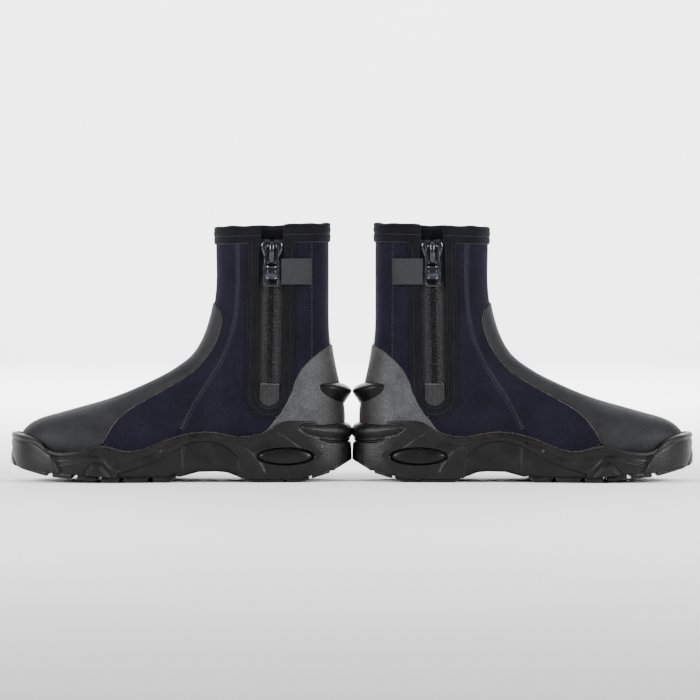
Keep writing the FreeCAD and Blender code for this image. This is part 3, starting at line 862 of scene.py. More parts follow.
def stitch_ball():
    """A small closed lozenge along +X, for one stitch."""
    around, along = 6, 5
    points = [(-1, 0, 0)]
    for a in np.linspace(-0.8, 0.8, along):
        radius = math.sqrt(max(0.0, 1 - a * a)) ** 0.7
        for turn in range(around):
            angle = 2 * math.pi * turn / around
            points.append((a, radius * math.cos(angle), radius * math.sin(angle)))
    points.append((1, 0, 0))
    faces = [[f + 1 for f in face] for face in grid_faces(along, around, wrap=True)]
    last = len(points) - 1
    faces += [[0, 1 + (n + 1) % around, 1 + n] for n in range(around)]
    start = 1 + (along - 1) * around
    faces += [[last, start + n, start + (n + 1) % around] for n in range(around)]
    return np.array(points, float), faces


BALL_POINTS, BALL_FACES = stitch_ball()
CHANCE = np.random.default_rng(11)


def stitches(shape, rows, columns, pitch, length, radius, offset=0.0, angle=0.0, lift=0.0, rough=0.08):
    """Stitches along a line on the surface. offset moves them sideways and angle turns them."""
    centre = skin(rows, columns)
    far = lengths(centre)
    wanted = np.arange(pitch / 2, far[-1], pitch)
    rows, columns = np.interp(wanted, far, rows), np.interp(wanted, far, columns)
    centre = skin(rows, columns)
    normal = read(FORM_NORMAL, rows, columns)
    tangent = np.gradient(centre, axis=0)
    tangent /= np.linalg.norm(tangent, axis=1, keepdims=True)
    side = np.cross(normal, tangent)
    centre = centre + side * offset + normal * lift
    turned = tangent * math.cos(angle) + side * math.sin(angle)
    across = np.cross(normal, turned)
    for c, t, s, n in zip(centre, turned, across, normal):
        grow, slip, sway = CHANCE.normal(0, rough, 3)
        size = max(0.3, 1 + grow)
        t = t + s * sway
        c = c + s * slip * radius
        points = (c + BALL_POINTS[:, :1] * t * size * length / 2 + BALL_POINTS[:, 1:2] * s * radius
                  + BALL_POINTS[:, 2:] * n * radius * 0.8)
        shape.add(points, BALL_FACES, BALL_POINTS * 2)


def seam_stitching():
    """Zigzag stitches over the front seams and straight ones along the rear seams."""
    shape = Shape()
    for side in (-1, 1):
        rows, columns = dense_path(FRONT_SEAM[:-1], side)
        for turn in (0.95, -0.95):
            stitches(shape, rows, columns, 2.4, 2.9, 0.26, angle=turn, lift=-0.35)
        for offset in (1.7, -1.7):
            stitches(shape, rows, columns, 2.4, 1.9, 0.24, offset=offset, lift=-0.1)
        rows, columns = dense_path(REAR_SEAM[:-1], side)
        for turn in (1.25, -1.25):
            stitches(shape, rows, columns, 2.5, 2.2, 0.24, angle=turn, lift=-0.35)
    return shape


def fray_and_highlight_threads(line, lift):
    """Short, uneven threads along a bonded edge, on both sides of the boot; their pale colour is partly a
    painted highlight.
    """
    shape = Shape()
    for side in (-1, 1):
        rows, columns = dense_path(line, side)
        stitches(shape, rows, columns, 1.9, 1.7, 0.26, angle=0.35, lift=lift, rough=0.5)
        stitches(shape, rows, columns, 1.5, 1.2, 0.20, offset=-0.25, angle=-0.4, lift=lift - 0.1, rough=0.6)
    return shape


pair("vamp_panel_look", vamp(), KNIT, ["vamp_panel"])
pair("lateral_panel_look", lateral_panel(), KNIT, ["lateral_panel"])
pair("rear_panel_look", rear_panel(), KNIT, ["rear_panel"])
pair("medial_panel_look", medial_panel(), KNIT, ["medial_panel"])
pair("instep_overlay_look", instep_overlay(), OVERLAY_RUBBER, ["instep_overlay"])
pair("heel_counter_look", heel_counter(), COUNTER_RUBBER, ["heel_counter"])
pair("seam_stitching", seam_stitching(), THREAD)
# Pale threads along the bonded edges: partly fray, and partly a painted highlight, most of all on the sole's
# lip.
pair("overlay_edge", fray_and_highlight_threads(OVERLAY_EDGE[1:-1], OVERLAY - 0.75), EDGE_FRAY_AND_HIGHLIGHT)
pair("counter_edge", fray_and_highlight_threads(COUNTER_EDGE[:-1], COUNTER - 1.1), EDGE_FRAY_AND_HIGHLIGHT)
pair("sole_edge", fray_and_highlight_threads([(x, z + 1.1) for x, z in SOLE_TOP[2:-2]], 0.9), EDGE_FRAY_AND_HIGHLIGHT)


# --- collar --------------------------------------------------------------------------------------

def collar_columns(heel_x, toe_x):
    """Column places round the collar, from one side of the zip to the other."""
    low, high = [locate([(x, 215)], -1)[1][0] for x in (heel_x, toe_x)]
    return np.linspace(high, 1 + low, 300)


def collar_binding():
    """A rolled, twice stitched band round the top edge, open at the zip."""
    columns = collar_columns(59.3, 80.9)
    ridges = [(14.6, 0.0), (14.2, 1.0), (13.4, 1.5), (10.5, 1.75), (8.2, 1.55), (7.5, 0.95), (6.8, 1.45),
              (4.6, 1.95), (2.6, 1.75), (2.0, 1.15), (1.3, 1.6), (0.0, 1.75)]
    roll = [(-0.9, 1.3), (-1.5, 0.2), (-1.8, -1.4), (-1.7, -3.2), (-1.2, -4.6), (0.0, -5.2), (3.0, -5.3),
            (8.0, -5.3), (12.0, -5.2), (13.0, -4.4), (13.0, -1.0)]
    profile = np.array(ridges + roll)
    down, lift = profile.T
    points = skin(np.maximum(down, 0.0), columns[:, None], lift)
    points[..., 2] += np.maximum(-down, 0.0)
    wave = 0.35 * np.sin(columns * 40) + 0.25 * np.sin(columns * 91 + 1)
    points[..., 2] += wave[:, None] * smoothstep((13 - down) / 8)
    far = lengths(points[:, 0])
    places = np.stack(np.broadcast_arrays(far[:, None], down, points[..., 0]), axis=-1)
    return Shape().add(points, tube_faces(len(columns), len(profile)), places)


def collar_stitching():
    shape = Shape()
    columns = collar_columns(60.5, 79.7)
    for row, lift in ((7.4, 1.2), (13.9, 1.15)):
        stitches(shape, np.full(300, row), columns, 2.6, 1.9, 0.22, lift=lift)
    return shape


pair("collar_binding_look", collar_binding(), BINDING_CLOTH, ["collar_binding"])
pair("collar_stitching", collar_stitching(), THREAD)


# --- zip -----------------------------------------------------------------------------------------

def placket():
    """The U-shaped band round the zip, with a rolled inner edge and two stitched channels."""
    count = 260
    offsets = np.array([0, 0.5, 1.2, 2.0, 2.5, 3.0, 3.8, 5.5, 7.0, 7.6, 8.2, 9.2, 10.0, 10.6, 11.1])
    lifts = np.array([-0.6, 0.9, 1.5, 1.45, 0.75, 1.35, 1.6, 1.55, 1.45, 0.8, 1.4, 1.5, 1.3, 0.8, -0.4])
    lines = [u_line(U_INNER_HALF + o, U_BOTTOM + U_OUTER_HALF - U_INNER_HALF - o, COLLAR_LOW + 4, count)
             for o in offsets]
    points = np.stack(lines, axis=1)
    rows, columns = locate_grid(points)
    outer, inner = skin(rows, columns, lifts), skin(rows, columns, -1.0)
    far = lengths(points[:, 7])
    places = np.stack(np.broadcast_arrays(offsets[None, :], far[:, None], points[..., 0]), axis=-1)
    return sheet(outer, inner, places)


def placket_stitching():
    shape = Shape()
    for offset, lift in ((2.5, 0.95), (7.6, 1.0)):
        half = U_INNER_HALF + offset
        line = u_line(half, U_BOTTOM + U_OUTER_HALF - half, COLLAR_LOW, 300)
        rows, columns = locate(line, -1)
        stitches(shape, rows, columns, 2.6, 1.9, 0.2, lift=lift)
    return shape


def gusset():
    """The bellows behind the zip: a thin sheet with a soft fold on each side."""
    x = np.linspace(ZIP_X - 23.5, ZIP_X + 23.5, 40)
    z = np.linspace(221.5, 56, 70)
    points = np.stack(np.meshgrid(x, z), axis=-1)
    rows, columns = locate_grid(points)
    fold = 0.5 * np.cos((points[..., 0] - ZIP_X) / 7.0) + 0.25 * np.sin(points[..., 1] / 9.0)
    outer = skin(rows, columns, -6.6 + fold)
    inner = skin(rows, columns, -8.2 + fold)
    outer[0, :, 2] += 0.4
    return sheet(outer, inner, points[..., [0, 1, 0]])


def upright_grid(x, z, y):
    """Points from the zip's own upright x and z, and a y."""
    flat = untilt(np.stack([x.ravel(), z.ravel()], axis=1)).reshape(*x.shape, 2)
    return np.stack([flat[..., 0], np.broadcast_to(y, x.shape), flat[..., 1]], axis=-1)


def zip_tape(side):
    """One woven tape with its beaded edge beside the teeth."""
    across = np.array([1.7, 1.9, 2.3, 2.7, 3.0, 4.0, 5.5, 7.0, 8.5, 9.6, 10.4])
    lift = np.array([0.0, 0.55, 0.7, 0.55, 0.15, 0.05, 0.0, 0.05, 0.0, 0.0, 0.0])
    z = np.linspace(212.0, TEETH_LOW - 1, 300)
    grid_x, grid_z = np.meshgrid(side * across, z)
    ripple = 0.16 * np.sin(grid_z * 2 * math.pi / 1.6) * (np.abs(grid_x) < 7.5)
    outer = upright_grid(grid_x, grid_z, TAPE_Y - 0.4 - lift[None, :] - ripple)
    inner = upright_grid(grid_x, grid_z, TAPE_Y + 0.4)
    return sheet(outer, inner, np.stack([grid_x, grid_z, grid_x], axis=-1))


def tooth_points():
    """One moulded tooth along +X: a clamp on the tape, a neck, and a rounded head with a ridge."""
    stations = np.array([0.0, 0.15, 0.6, 1.6, 2.6, 3.3, 3.9, 4.6, 5.2, 5.6, 5.75])
    tall = np.array([0.2, 0.58, 0.72, 0.74, 0.62, 0.50, 0.52, 0.70, 0.72, 0.52, 0.15])
    deep = np.array([0.4, 1.35, 1.62, 1.72, 1.66, 1.55, 1.55, 1.70, 1.62, 1.20, 0.3])
    up, out = rounded_ring(12, 0.7)
    points = np.stack(np.broadcast_arrays(stations[:, None], deep[:, None] * out, tall[:, None] * up), axis=-1)
    return points.reshape(-1, 3), tube_faces(*points.shape[:2])


def teeth(side):
    shape = Shape()
    points, faces = tooth_points()
    for number in range(TEETH_COUNT):
        low = TEETH_LOW + (TEETH_PITCH / 2 if side > 0 else 0) + number * TEETH_PITCH + 0.71
        x = side * (4.45 - points[:, 0])
        moved = upright_grid(x, low + points[:, 2], TAPE_Y + points[:, 1])
        shape.add(moved, faces if side > 0 else [f[::-1] for f in faces], points)
    return shape


def end_patch():
    """The ribbed patch that closes the zip's lower end."""
    rows, columns = 50, 90
    centre = SLOT_BOTTOM + SLOT_HALF
    z = np.linspace(TEETH_LOW + 0.5, SLOT_BOTTOM + 0.6, rows)
    half = np.where(z > centre, SLOT_HALF, np.sqrt(np.maximum(SLOT_HALF ** 2 - (z - centre) ** 2, 0.3)))
    across = np.linspace(-1, 1, columns)
    grid_x = half[:, None] * across[None, :]
    grid_z = np.broadcast_to(z[:, None], grid_x.shape)
    ribs = 0.55 * np.abs(np.sin(grid_x * math.pi / 1.9))
    edge = np.minimum(1 - np.abs(across)[None, :], 1.0) * half[:, None]
    swell = 1.1 * smoothstep(edge / 1.2) + 0.3 * np.cos(grid_x / SLOT_HALF * 1.2)
    top = smoothstep((TEETH_LOW + 0.5 - grid_z) / 1.5)
    outer = upright_grid(grid_x, grid_z, TAPE_Y + 0.2 - (swell + ribs * smoothstep(edge / 2.0)) * top)
    inner = upright_grid(grid_x, grid_z, TAPE_Y + 0.9)
    return sheet(outer, inner, np.stack([grid_x, grid_z, grid_x], axis=-1))


STRAP_LOW = 172.6
STRAP_TOP = 195.4
STRAP_END = 62.2


def strap():
    """The webbing tab: a flat woven band with rolled selvedges, sewn down at its root."""
    x = np.concatenate([np.linspace(37.0, 40.0, 8), np.linspace(40.4, 61.4, 40), [61.8, 62.05, STRAP_END]])
    z = np.concatenate([[STRAP_LOW, 172.8, 173.3], np.linspace(174.0, 194.0, 40), [194.7, 195.2, STRAP_TOP]])
    points = np.stack(np.meshgrid(x, z), axis=-1)
    rows, columns = locate_grid(points)
    edge_z = np.minimum(points[..., 1] - STRAP_LOW, STRAP_TOP - points[..., 1])
    edge_x = STRAP_END - points[..., 0]
    rolled = 1.5 * np.sqrt(1 - (1 - np.clip(np.minimum(edge_z, edge_x) / 0.7, 0, 1)) ** 2)
    selvedge = 0.22 * bump(edge_z - 1.2, 0.5)
    root = 0.45 * bump(points[..., 0] - 38.6, 0.45)
    ribs = 0.06 * np.sin(points[..., 1] * 2 * math.pi / 1.6)
    base = 1.9 + 0.25 * np.sin((points[..., 0] - 37) / 9)
    outer = skin(rows, columns, base + 0.05 + rolled * 0.93 + selvedge - root + ribs)
    inner = skin(rows, columns, base)
    return sheet(outer, inner, points[..., [0, 1, 0]])


pair("placket", placket(), BINDING_CLOTH, ["zip_binding"])
pair("placket_stitching", placket_stitching(), THREAD)
pair("gusset_look", gusset(), BINDING_CLOTH, ["zip_gusset"])
pair("zip_tape_toe_look", zip_tape(1), TAPE_WEAVE, ["zip_tape_toe_side"])
pair("zip_tape_heel_look", zip_tape(-1), TAPE_WEAVE, ["zip_tape_heel_side"])
pair("zip_teeth_toe_look", teeth(1), TOOTH_PLASTIC, ["zip_teeth_toe_side"])
pair("zip_teeth_heel_look", teeth(-1), TOOTH_PLASTIC, ["zip_teeth_heel_side"])
pair("zip_end_look", end_patch(), TOOTH_PLASTIC, ["zip_end_patch"])
pair("zip_strap_look", strap(), WEBBING, ["zip_strap"], part="strap")


def top_stops(boot):
    """The zip's top stops: the CAD piece's own shape with its edges rounded."""
    name = f"{boot}_top_stops_look"
    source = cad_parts[f"{boot}_zip_top_stops"].data.copy()
    source.name = name
    source.materials.clear()
    source.materials.append(TOOTH_PLASTIC)
    mesh = bmesh.new()
    mesh.from_mesh(source)
    bmesh.ops.remove_doubles(mesh, verts=mesh.verts, dist=2e-6)
    bmesh.ops.dissolve_limit(mesh, angle_limit=math.radians(2), verts=mesh.verts, edges=mesh.edges)
    mesh.to_mesh(source)
    mesh.free()
    piece = bpy.data.objects.new(name, source)
    bpy.context.scene.collection.objects.link(piece)
    rounding = piece.modifiers.new("Bevel", "BEVEL")
    rounding.width = 0.3 * MM
    rounding.segments = 3
    rounding.limit_method = "ANGLE"
    rounding.angle_limit = math.radians(30)
    source.shade_smooth()
    source.set_sharp_from_angle(angle=math.radians(50))
    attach(piece, f"{boot}_boot")
    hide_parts(f"{boot}_zip_top_stops")


def loft(stations, power=0.6, turns=28):
    """Rounded cross-sections stacked up the zip: z, half width, half depth, and the y of the middle."""
    across, out = rounded_ring(turns, power)
    z, wide, deep, middle = np.array(stations, float).T
    x = wide[:, None] * across
    y = middle[:, None] + deep[:, None] * out
    return upright_grid(x, np.broadcast_to(z[:, None], x.shape), y), tube_faces(len(stations), turns)


def rail(line, half_wide, half_deep, turns=14):
    """A rounded bar along a line of upright x, z points, in the pull tab's plane."""
    line = np.array(line, float)
    run = np.gradient(line, axis=0)
    run /= np.linalg.norm(run, axis=1, keepdims=True)
    across, out = rounded_ring(turns, 0.6)
    x = line[:, :1] + run[:, 1:] * half_wide * across
    z = line[:, 1:] - run[:, :1] * half_wide * across
    return upright_grid(x, z, PULLER_Y + half_deep * out), tube_faces(len(line), turns)


SLIDER_FRONT = TAPE_Y - 3.4
PULLER_Y = SLIDER_FRONT - 1.8


def slider():
    """The slider's body, broad at its shoulders."""
    body = [(189.9, 4.6, 2.2), (190.2, 5.8, 3.0), (191.0, 6.4, 3.4), (194.0, 6.7, 3.4), (197.0, 7.2, 3.4),
            (200.0, 8.3, 3.4), (203.0, 9.4, 3.4), (205.5, 9.8, 3.4), (207.5, 9.7, 3.4), (209.2, 9.0, 3.35),
            (210.3, 8.0, 3.1), (211.0, 6.6, 2.5), (211.2, 5.4, 1.9)]
    return Shape().add(*loft([(z, w, d, TAPE_Y) for z, w, d in body], power=0.45, turns=40))


def crown():
    """The rounded bridge on the slider's front, flat at its back."""
    nose = [(190.6, 0.8, 0.8), (191.2, 1.9, 2.0), (192.6, 2.6, 3.3), (195.0, 2.9, 4.4), (199.0, 3.0, 5.2),
            (203.0, 3.0, 5.4), (206.5, 3.0, 5.1), (208.6, 2.8, 4.2), (210.0, 2.3, 2.8), (210.8, 1.3, 1.2)]
    points, faces = loft([(z, w, d, SLIDER_FRONT) for z, w, d in nose], power=0.8)
    points[..., 1] = np.minimum(points[..., 1], SLIDER_FRONT + 0.8)
    return Shape().add(points, faces)


def puller():
    """The pull tab: a tapered frame, the bar it turns on, a cross bar, and a plain plate let into it."""
    shape = Shape()
    corner = np.linspace(0, math.pi / 2, 6)
    right = [(4.7, 206.6), (5.0, 202), (5.3, 196), (5.7, 189), (6.0, 182), (6.2, 175.5)]
    turn = [(4.6 + 1.6 * math.cos(a), 173.6 - 1.6 * math.sin(a)) for a in corner]
    half = right + turn
    loop = half + [(-x, z) for x, z in half[::-1]]
    shape.add(*rail(resample(np.array(loop), 90), 1.15, 1.05))
    shape.add(*rail([(-4.9, 206.2), (-2, 206.2), (2, 206.2), (4.9, 206.2)], 1.05, 1.05))
    shape.add(*rail([(-5.3, 188.0), (0, 188.0), (5.3, 188.0)], 0.95, 1.0))
    shape.add(*rail([(-5.8, 178.2), (0, 178.2), (5.8, 178.2)], 0.7, 0.9))
    plate = [(178.0, 5.2, 0.3), (178.4, 5.2, 0.55), (187.4, 4.9, 0.55), (187.8, 4.9, 0.3)]
    raised = [(179.6, 3.2, 0.5), (180.0, 3.6, 0.8), (185.8, 3.6, 0.8), (186.2, 3.2, 0.5)]
    shape.add(*loft([(*station, PULLER_Y) for station in plate], power=0.3))
    shape.add(*loft([(*station, PULLER_Y - 0.3) for station in raised], power=0.35))
    return shape


pair("slider_look", slider(), SLIDER_ENAMEL, ["slider_body"], part="slider")
pair("crown_look", crown(), SLIDER_ENAMEL, ["slider_crown"], part="slider")
pair("puller_look", puller(), SLIDER_ENAMEL, ["zip_puller"], part="puller")
for boot in ("left", "right"):
    top_stops(boot)


# --- kick tab ------------------------------------------------------------------------------------

SPUR_REACH = 0.112       # half of its length round the heel, as a share of the way round the boot
SPUR_OUT = 8.6
SPUR_DOWN = [0, 0.12, 0.26, 0.40, 0.58, 0.82, 1.0]
SPUR_HEIGHT = [0, 0.50, 0.86, 1.0, 0.80, 0.30, 0]


def kick_tab():
    """The spur round the heel: a ledge on top and a longer slope below, fading out on the sides."""
    back = np.linspace(-1, 1, 150)
    down = np.linspace(0, 1, 56)
    taper = 1 - np.sqrt(1 - np.abs(back) ** 5) * (1 - 0.35 * back ** 2)
    top_row, tip_row, low_row = row_at(12.0, 85.6), row_at(11.0, 79.0), row_at(9.5, 67.0)
    first = top_row + 0.96 * (tip_row - top_row) * taper
    last = low_row + 0.96 * (tip_row - low_row) * taper
    rows = first[None, :] + (last - first)[None, :] * down[:, None]
    columns = 0.5 + SPUR_REACH * back[None, :] + 0 * down[:, None]
    height = cubic(SPUR_DOWN, SPUR_HEIGHT, down) * np.sqrt(1 - np.abs(back) ** 4)[None, :] * SPUR_OUT
    blunt = smoothstep((1 - np.abs(back)) * 14)[None, :]
    rim = smoothstep(np.minimum(down, 1 - down) * 14)[:, None] * blunt
    toward = 0.35 * read(FORM_NORMAL, rows, columns) + 0.65 * np.array([-1.0, 0, 0])
    toward /= np.linalg.norm(toward, axis=-1, keepdims=True)
    base = COUNTER - 0.9 + 1.1 * rim
    outer = skin(rows, columns, base) + toward * height[..., None]
    inner = skin(rows, columns, COUNTER - 2.2)
    return sheet(outer, inner, places_for(rows, columns))


pair("kick_tab_look", kick_tab(), TAB_RUBBER, ["kick_tab"])


# --- sole ----------------------------------------------------------------------------------------

PLAN = smooth_line(SOLE_PLAN, 1401, closed=True)[:-1]


def plan_inset(plan, shrink):
    """The sole's plan outline drawn in by shrink, as the CAD draws it in."""
    toward_end = (plan[..., 0] - SOLE_CENTRE_X) / SOLE_HALF_LENGTH
    keep = 1 - shrink / np.maximum(np.abs(plan[..., 1]), SOLE_END_HALF)
    return np.stack([plan[..., 0] - shrink * toward_end ** 3, plan[..., 1] * keep], axis=-1)


def wall_draw(z):
    place, draw = np.array(SOLE_WALL, float).T
    return cubic(place, draw, z).reshape(np.shape(z))


def sole_top_z(x):
    line = smooth_line(SOLE_TOP, 400)
    return np.interp(x, line[:, 0], line[:, 1])


def sole_bottom_z(x):
    x_at, z_at = np.array(SOLE_BOTTOM, float).T
    return np.interp(x, x_at, z_at)


def tread_depth(x):
    """How high above the tread the sole's own underside is, between the lugs."""
    fore = 4.0 * smoothstep((x - 150) / 6) * smoothstep((296 - x) / 8)
    heel = 2.3 * smoothstep((x - 4) / 6) * smoothstep((97 - x) / 5)
    return np.maximum(fore, heel)


HEEL_BAND = [(-8, 50.5), (30, 50.2), (42, 49.6), (44.5, 47), (39, 42.6), (24, 39.3), (-8, 37.5)]
HEEL_PLANE = [(43, 30), (52, 36.5), (63, 44), (80, 32), (86, 14), (60, 8), (40, 12)]
ARCH_PANEL = [
    (99, 5), (99.5, 21), (105, 27.5), (114, 33), (124, 36), (136, 35.5), (147.5, 32), (148, 12), (148, 3),
]
FORE_PANEL = [(148, 3), (148, 31), (157, 27), (168, 21), (182, 14.5), (204, 8), (206, 3)]
MOUNTAIN = [(209, 2), (213, 8), (219, 14.5), (223, 16.8), (227, 15), (233, 8), (237, 3)]
MOUNTAIN_FLANK = [(203, 8.5), (212, 13), (218, 19.5), (225, 21.2), (234, 19), (262, 13)]
ARCH_BAND = [(78, 9), (84, 20), (95, 29), (108, 35.5), (122, 39.5), (136, 39), (150, 34.5), (165, 27.5)]
OVAL_CENTRE = (58.0, 22.5)
OVAL_HALF = (23.2, 6.9)
OVAL_GAP = 0.45
LIP = 0.9                # how far the rolled top edge stands out
LIP_TALL = 3.4


def shifted(line, x, z):
    return line + np.array([[x, z]])


ARCH_CURVE = smooth_line(ARCH_BAND, 40)
FLANK_CURVE = smooth_line(MOUNTAIN_FLANK, 30)
GUARD_CURVE = smooth_line(GUARD_EDGE, 30)
MOULDED_LINES = [        # a line, how far it stands out of the wall or is cut into it, and its half width
    ([(-8, 35), (20, 35.2), (27, 37.5)], -1.7, 0.9),
    ([(63, 44), (52, 36.5), (44, 30.5)], -0.6, 1.2),
    (ARCH_CURVE, 1.2, 2.0),
    (FLANK_CURVE, 0.9, 1.2),
    (shifted(FLANK_CURVE, 0, 2.4), -0.6, 0.9),
]
SUNK_PANELS = [(ARCH_PANEL, 2.1), (FORE_PANEL, 1.5)]       # an outline and how deep it is sunk


def relief(x, z):
    """How far the sole's side stands out of the plain wall, in mm."""
    top = sole_top_z(x)
    band_depth = depth_inside(x, z, HEEL_BAND)
    out = -0.45 * bump(top - 5.4 - z, 1.2) * smoothstep((x - 60) / 20)
    out += 2.3 * np.sqrt(smoothstep(band_depth / 5.5)) - 0.8 * bump(band_depth + 0.7, 0.7)
    out += 0.9 * smoothstep(-depth_inside(x, z, HEEL_PLANE) / 9) * smoothstep((92 - x) / 16)
    for outline, depth in SUNK_PANELS:
        out -= depth * smoothstep((depth_inside(x, z, outline) + 0.6) / 1.6)
    mountain = depth_inside(x, z, MOUNTAIN)
    out += 2.2 * smoothstep(mountain / 2.2) - 0.9 * bump(mountain + 0.8, 0.8)
    for line, height, width in MOULDED_LINES:
        out += height * bump(line_distance(x, z, line), width)
    oval = np.hypot((x - OVAL_CENTRE[0]) / OVAL_HALF[0], (z - OVAL_CENTRE[1]) / OVAL_HALF[1])
    around = (oval - 1) * OVAL_HALF[1]
    out = np.where(around < 3.0, out * smoothstep(around / 3.0), out)
    out -= 3.0 * (1 - smoothstep((around - OVAL_GAP) / 0.5))
    out -= 0.8 * bump(line_distance(x, z, shifted(GUARD_CURVE, -2.0, 0)), 1.0)
    lip = smoothstep((z - top + LIP_TALL) / 1.6) * smoothstep((x - 44) / 6)
    return out * (1 - lip) + LIP * lip


def sock_widths():
    """The sock's half widths over a lattice of side-view places, medial and lateral."""
    x, z = np.meshgrid(SOCK_X, SOCK_Z, indexing="ij")
    points = np.stack([x.ravel(), z.ravel()], axis=1)
    widths = []
    for side in (-1, 1):
        rows, columns = locate(points, side)
        widths.append(np.abs(skin(rows, columns)[:, 1]).reshape(x.shape))
    return widths


SOCK_X = np.arange(14.0, 290.0, 4.0)
SOCK_Z = np.arange(16.0, 58.0, 3.0)
SOCK_WIDTHS = sock_widths()
SOLE_COVER = 2.5          # how far the sole stands off the sock where it wraps it


def sock_width(x, y, z):
    """The sock's half width on y's side, read off the lattice."""
    i = np.clip((x - SOCK_X[0]) / 4.0, 0, len(SOCK_X) - 1.001)
    k = np.clip((z - SOCK_Z[0]) / 3.0, 0, len(SOCK_Z) - 1.001)
    a, b = i.astype(int), k.astype(int)
    u, v = i - a, k - b
    low = [w[a, b] * (1 - u) + w[a + 1, b] * u for w in SOCK_WIDTHS]
    high = [w[a, b + 1] * (1 - u) + w[a + 1, b + 1] * u for w in SOCK_WIDTHS]
    medial, lateral = [bottom * (1 - v) + top * v for bottom, top in zip(low, high)]
    return np.where(y < 0, medial, lateral)


def around_sock(flat, z, cover):
    """Moves wall points that lie too close to the sock out to its cover, softly."""
    x, y = flat[:, 0], flat[:, 1]
    middle = smoothstep((x - 22) / 16) * smoothstep((262 - x) / 20)
    target = sock_width(x, y, z) + cover
    now = np.abs(y)
    wanted = 0.5 * (now + target + np.sqrt((now - target) ** 2 + 1.5))
    y = np.sign(y) * (now + (wanted - now) * middle)
    return np.stack([x, y], axis=1)


def sole_ring(share_rows):
    """Points round the sole for rows of (height share of the wall, extra inset, height offset)."""
    plan = PLAN
    x = plan[:, 0]
    low = sole_bottom_z(x) + tread_depth(x)
    top = sole_top_z(x)
    grid = []
    for share, inset, rise in share_rows:
        z = low + share * (top - low) + rise
        blend = smoothstep((share - 0.4) / 0.25)
        out = np.where(share <= 1.0, relief(x, z), 0) * (0 < share < 1) if inset == 0 else 0
        flat = plan_inset(plan, wall_draw(z))
        if share > 0.4 and inset < 2.5:
            flat = flat + (around_sock(flat, np.minimum(z, top - 1.0), SOLE_COVER) - flat) * blend
        flat = plan_inset(flat, inset - out)
        grid.append(np.concatenate([flat, z[:, None]], axis=1))
    return np.array(grid)


def spine(points):
    """The same ring drawn in to the sole's middle line."""
    middle = points.copy()
    middle[..., 0] = np.clip(points[..., 0], 34, 262)
    middle[..., 1] = 0
    return middle


def outsole():
    wall = [(share, 0, 0) for share in np.linspace(0.0, 1.0, 92)[1:-1]]
    rows = [(0.0, 1.3, 0.0), (0.0, 0.5, 0.25), (0.012, 0.1, 0.2)] + wall
    rows += [(1.0, -0.82, 0.35), (1.0, -0.5, 0.75), (1.0, 0.1, 1.0), (1.0, 1.0, 1.0), (1.0, 2.0, 0.6),
             (1.0, 3.6, -0.2), (1.0, 7.0, -2.0), (1.0, 10.0, -6.0), (1.0, 11.0, -10.0)]
    grid = sole_ring(rows)
    first, last = grid[0], grid[-1]
    under = [first + (spine(first) - first) * share for share in (0.97, 0.8, 0.6, 0.4, 0.2, 0.06)]
    over = [last + (spine(last) - last) * share for share in (0.3, 0.7, 0.97)]
    grid = np.concatenate([under, grid, over])
    shape = Shape().add(grid, tube_faces(*grid.shape[:2]), grid[..., [0, 2, 0]])
    for lug in lugs():
        shape.add(*lug)
    return shape


def half_width(x, side):
    """The sole's half width at x, on the medial (-1) or lateral (1) side."""
    ring = PLAN[PLAN[:, 1] * side >= 0]
    ring = ring[np.argsort(ring[:, 0])]
    return np.interp(x, ring[:, 0], np.abs(ring[:, 1]))


def between_grooves(start, grooves, end, half):
    """Where the blocks between cross grooves start and end."""
    return zip([start] + [groove + half for groove in grooves], [groove - half for groove in grooves] + [end])


def lugs():
    """The tread's blocks, between the cross grooves and beside the long groove."""
    fore = between_grooves(154.5, FOREFOOT_GROOVES, 295.0, FOREFOOT_GROOVE_HALF)
    heel = between_grooves(3.5, HEEL_GROOVES, 94.0, HEEL_GROOVE_HALF)
    made = [lug(start, end, side, gap) for blocks, gap in ((fore, 2.5), (heel, 2.0))
            for start, end in blocks for side in (-1, 1)]
    return [block for block in made if block]


def lug(start, end, side, centre_gap):
    """One block, rounded where it meets the ground."""
    x = np.concatenate([[start, start + 0.25, start + 0.7], np.linspace(start + 1.2, end - 1.2, 10),
                        [end - 0.7, end - 0.25, end]])
    ends = np.array([0.0, 0.75, 1.0])
    round_end = np.concatenate([ends, np.ones(10), ends[::-1]])
    low, depth = sole_bottom_z(x), tread_depth(x)
    outer = half_width(x, side) - wall_draw(low + 1.5) - 0.15
    if outer.max() < centre_gap + 2:
        return None
    outer = np.maximum(outer, centre_gap + 1.0)
    lift = 0.7 * (1 - round_end)
    rings = [
        (centre_gap + 0 * x, low + depth + 1.2), (centre_gap + 0.1 + 0 * x, low + 0.7 + lift),
        (centre_gap + 0.3 + 0 * x, low + 0.2 + lift), (centre_gap + 0.8 + 0 * x, low + lift),
        (outer - 1.0, low + lift), (outer - 0.4, low + 0.25 + lift), (outer - 0.1, low + 0.8 + lift),
        (outer + 0.2, low + depth + 0.4), (outer - 1.0, low + depth + 1.2),
    ]
    points = np.array([np.stack([x, side * y, z], axis=1) for y, z in rings]).transpose(1, 0, 2)
    return points, tube_faces(len(x), len(rings)), points[..., [0, 2, 0]]


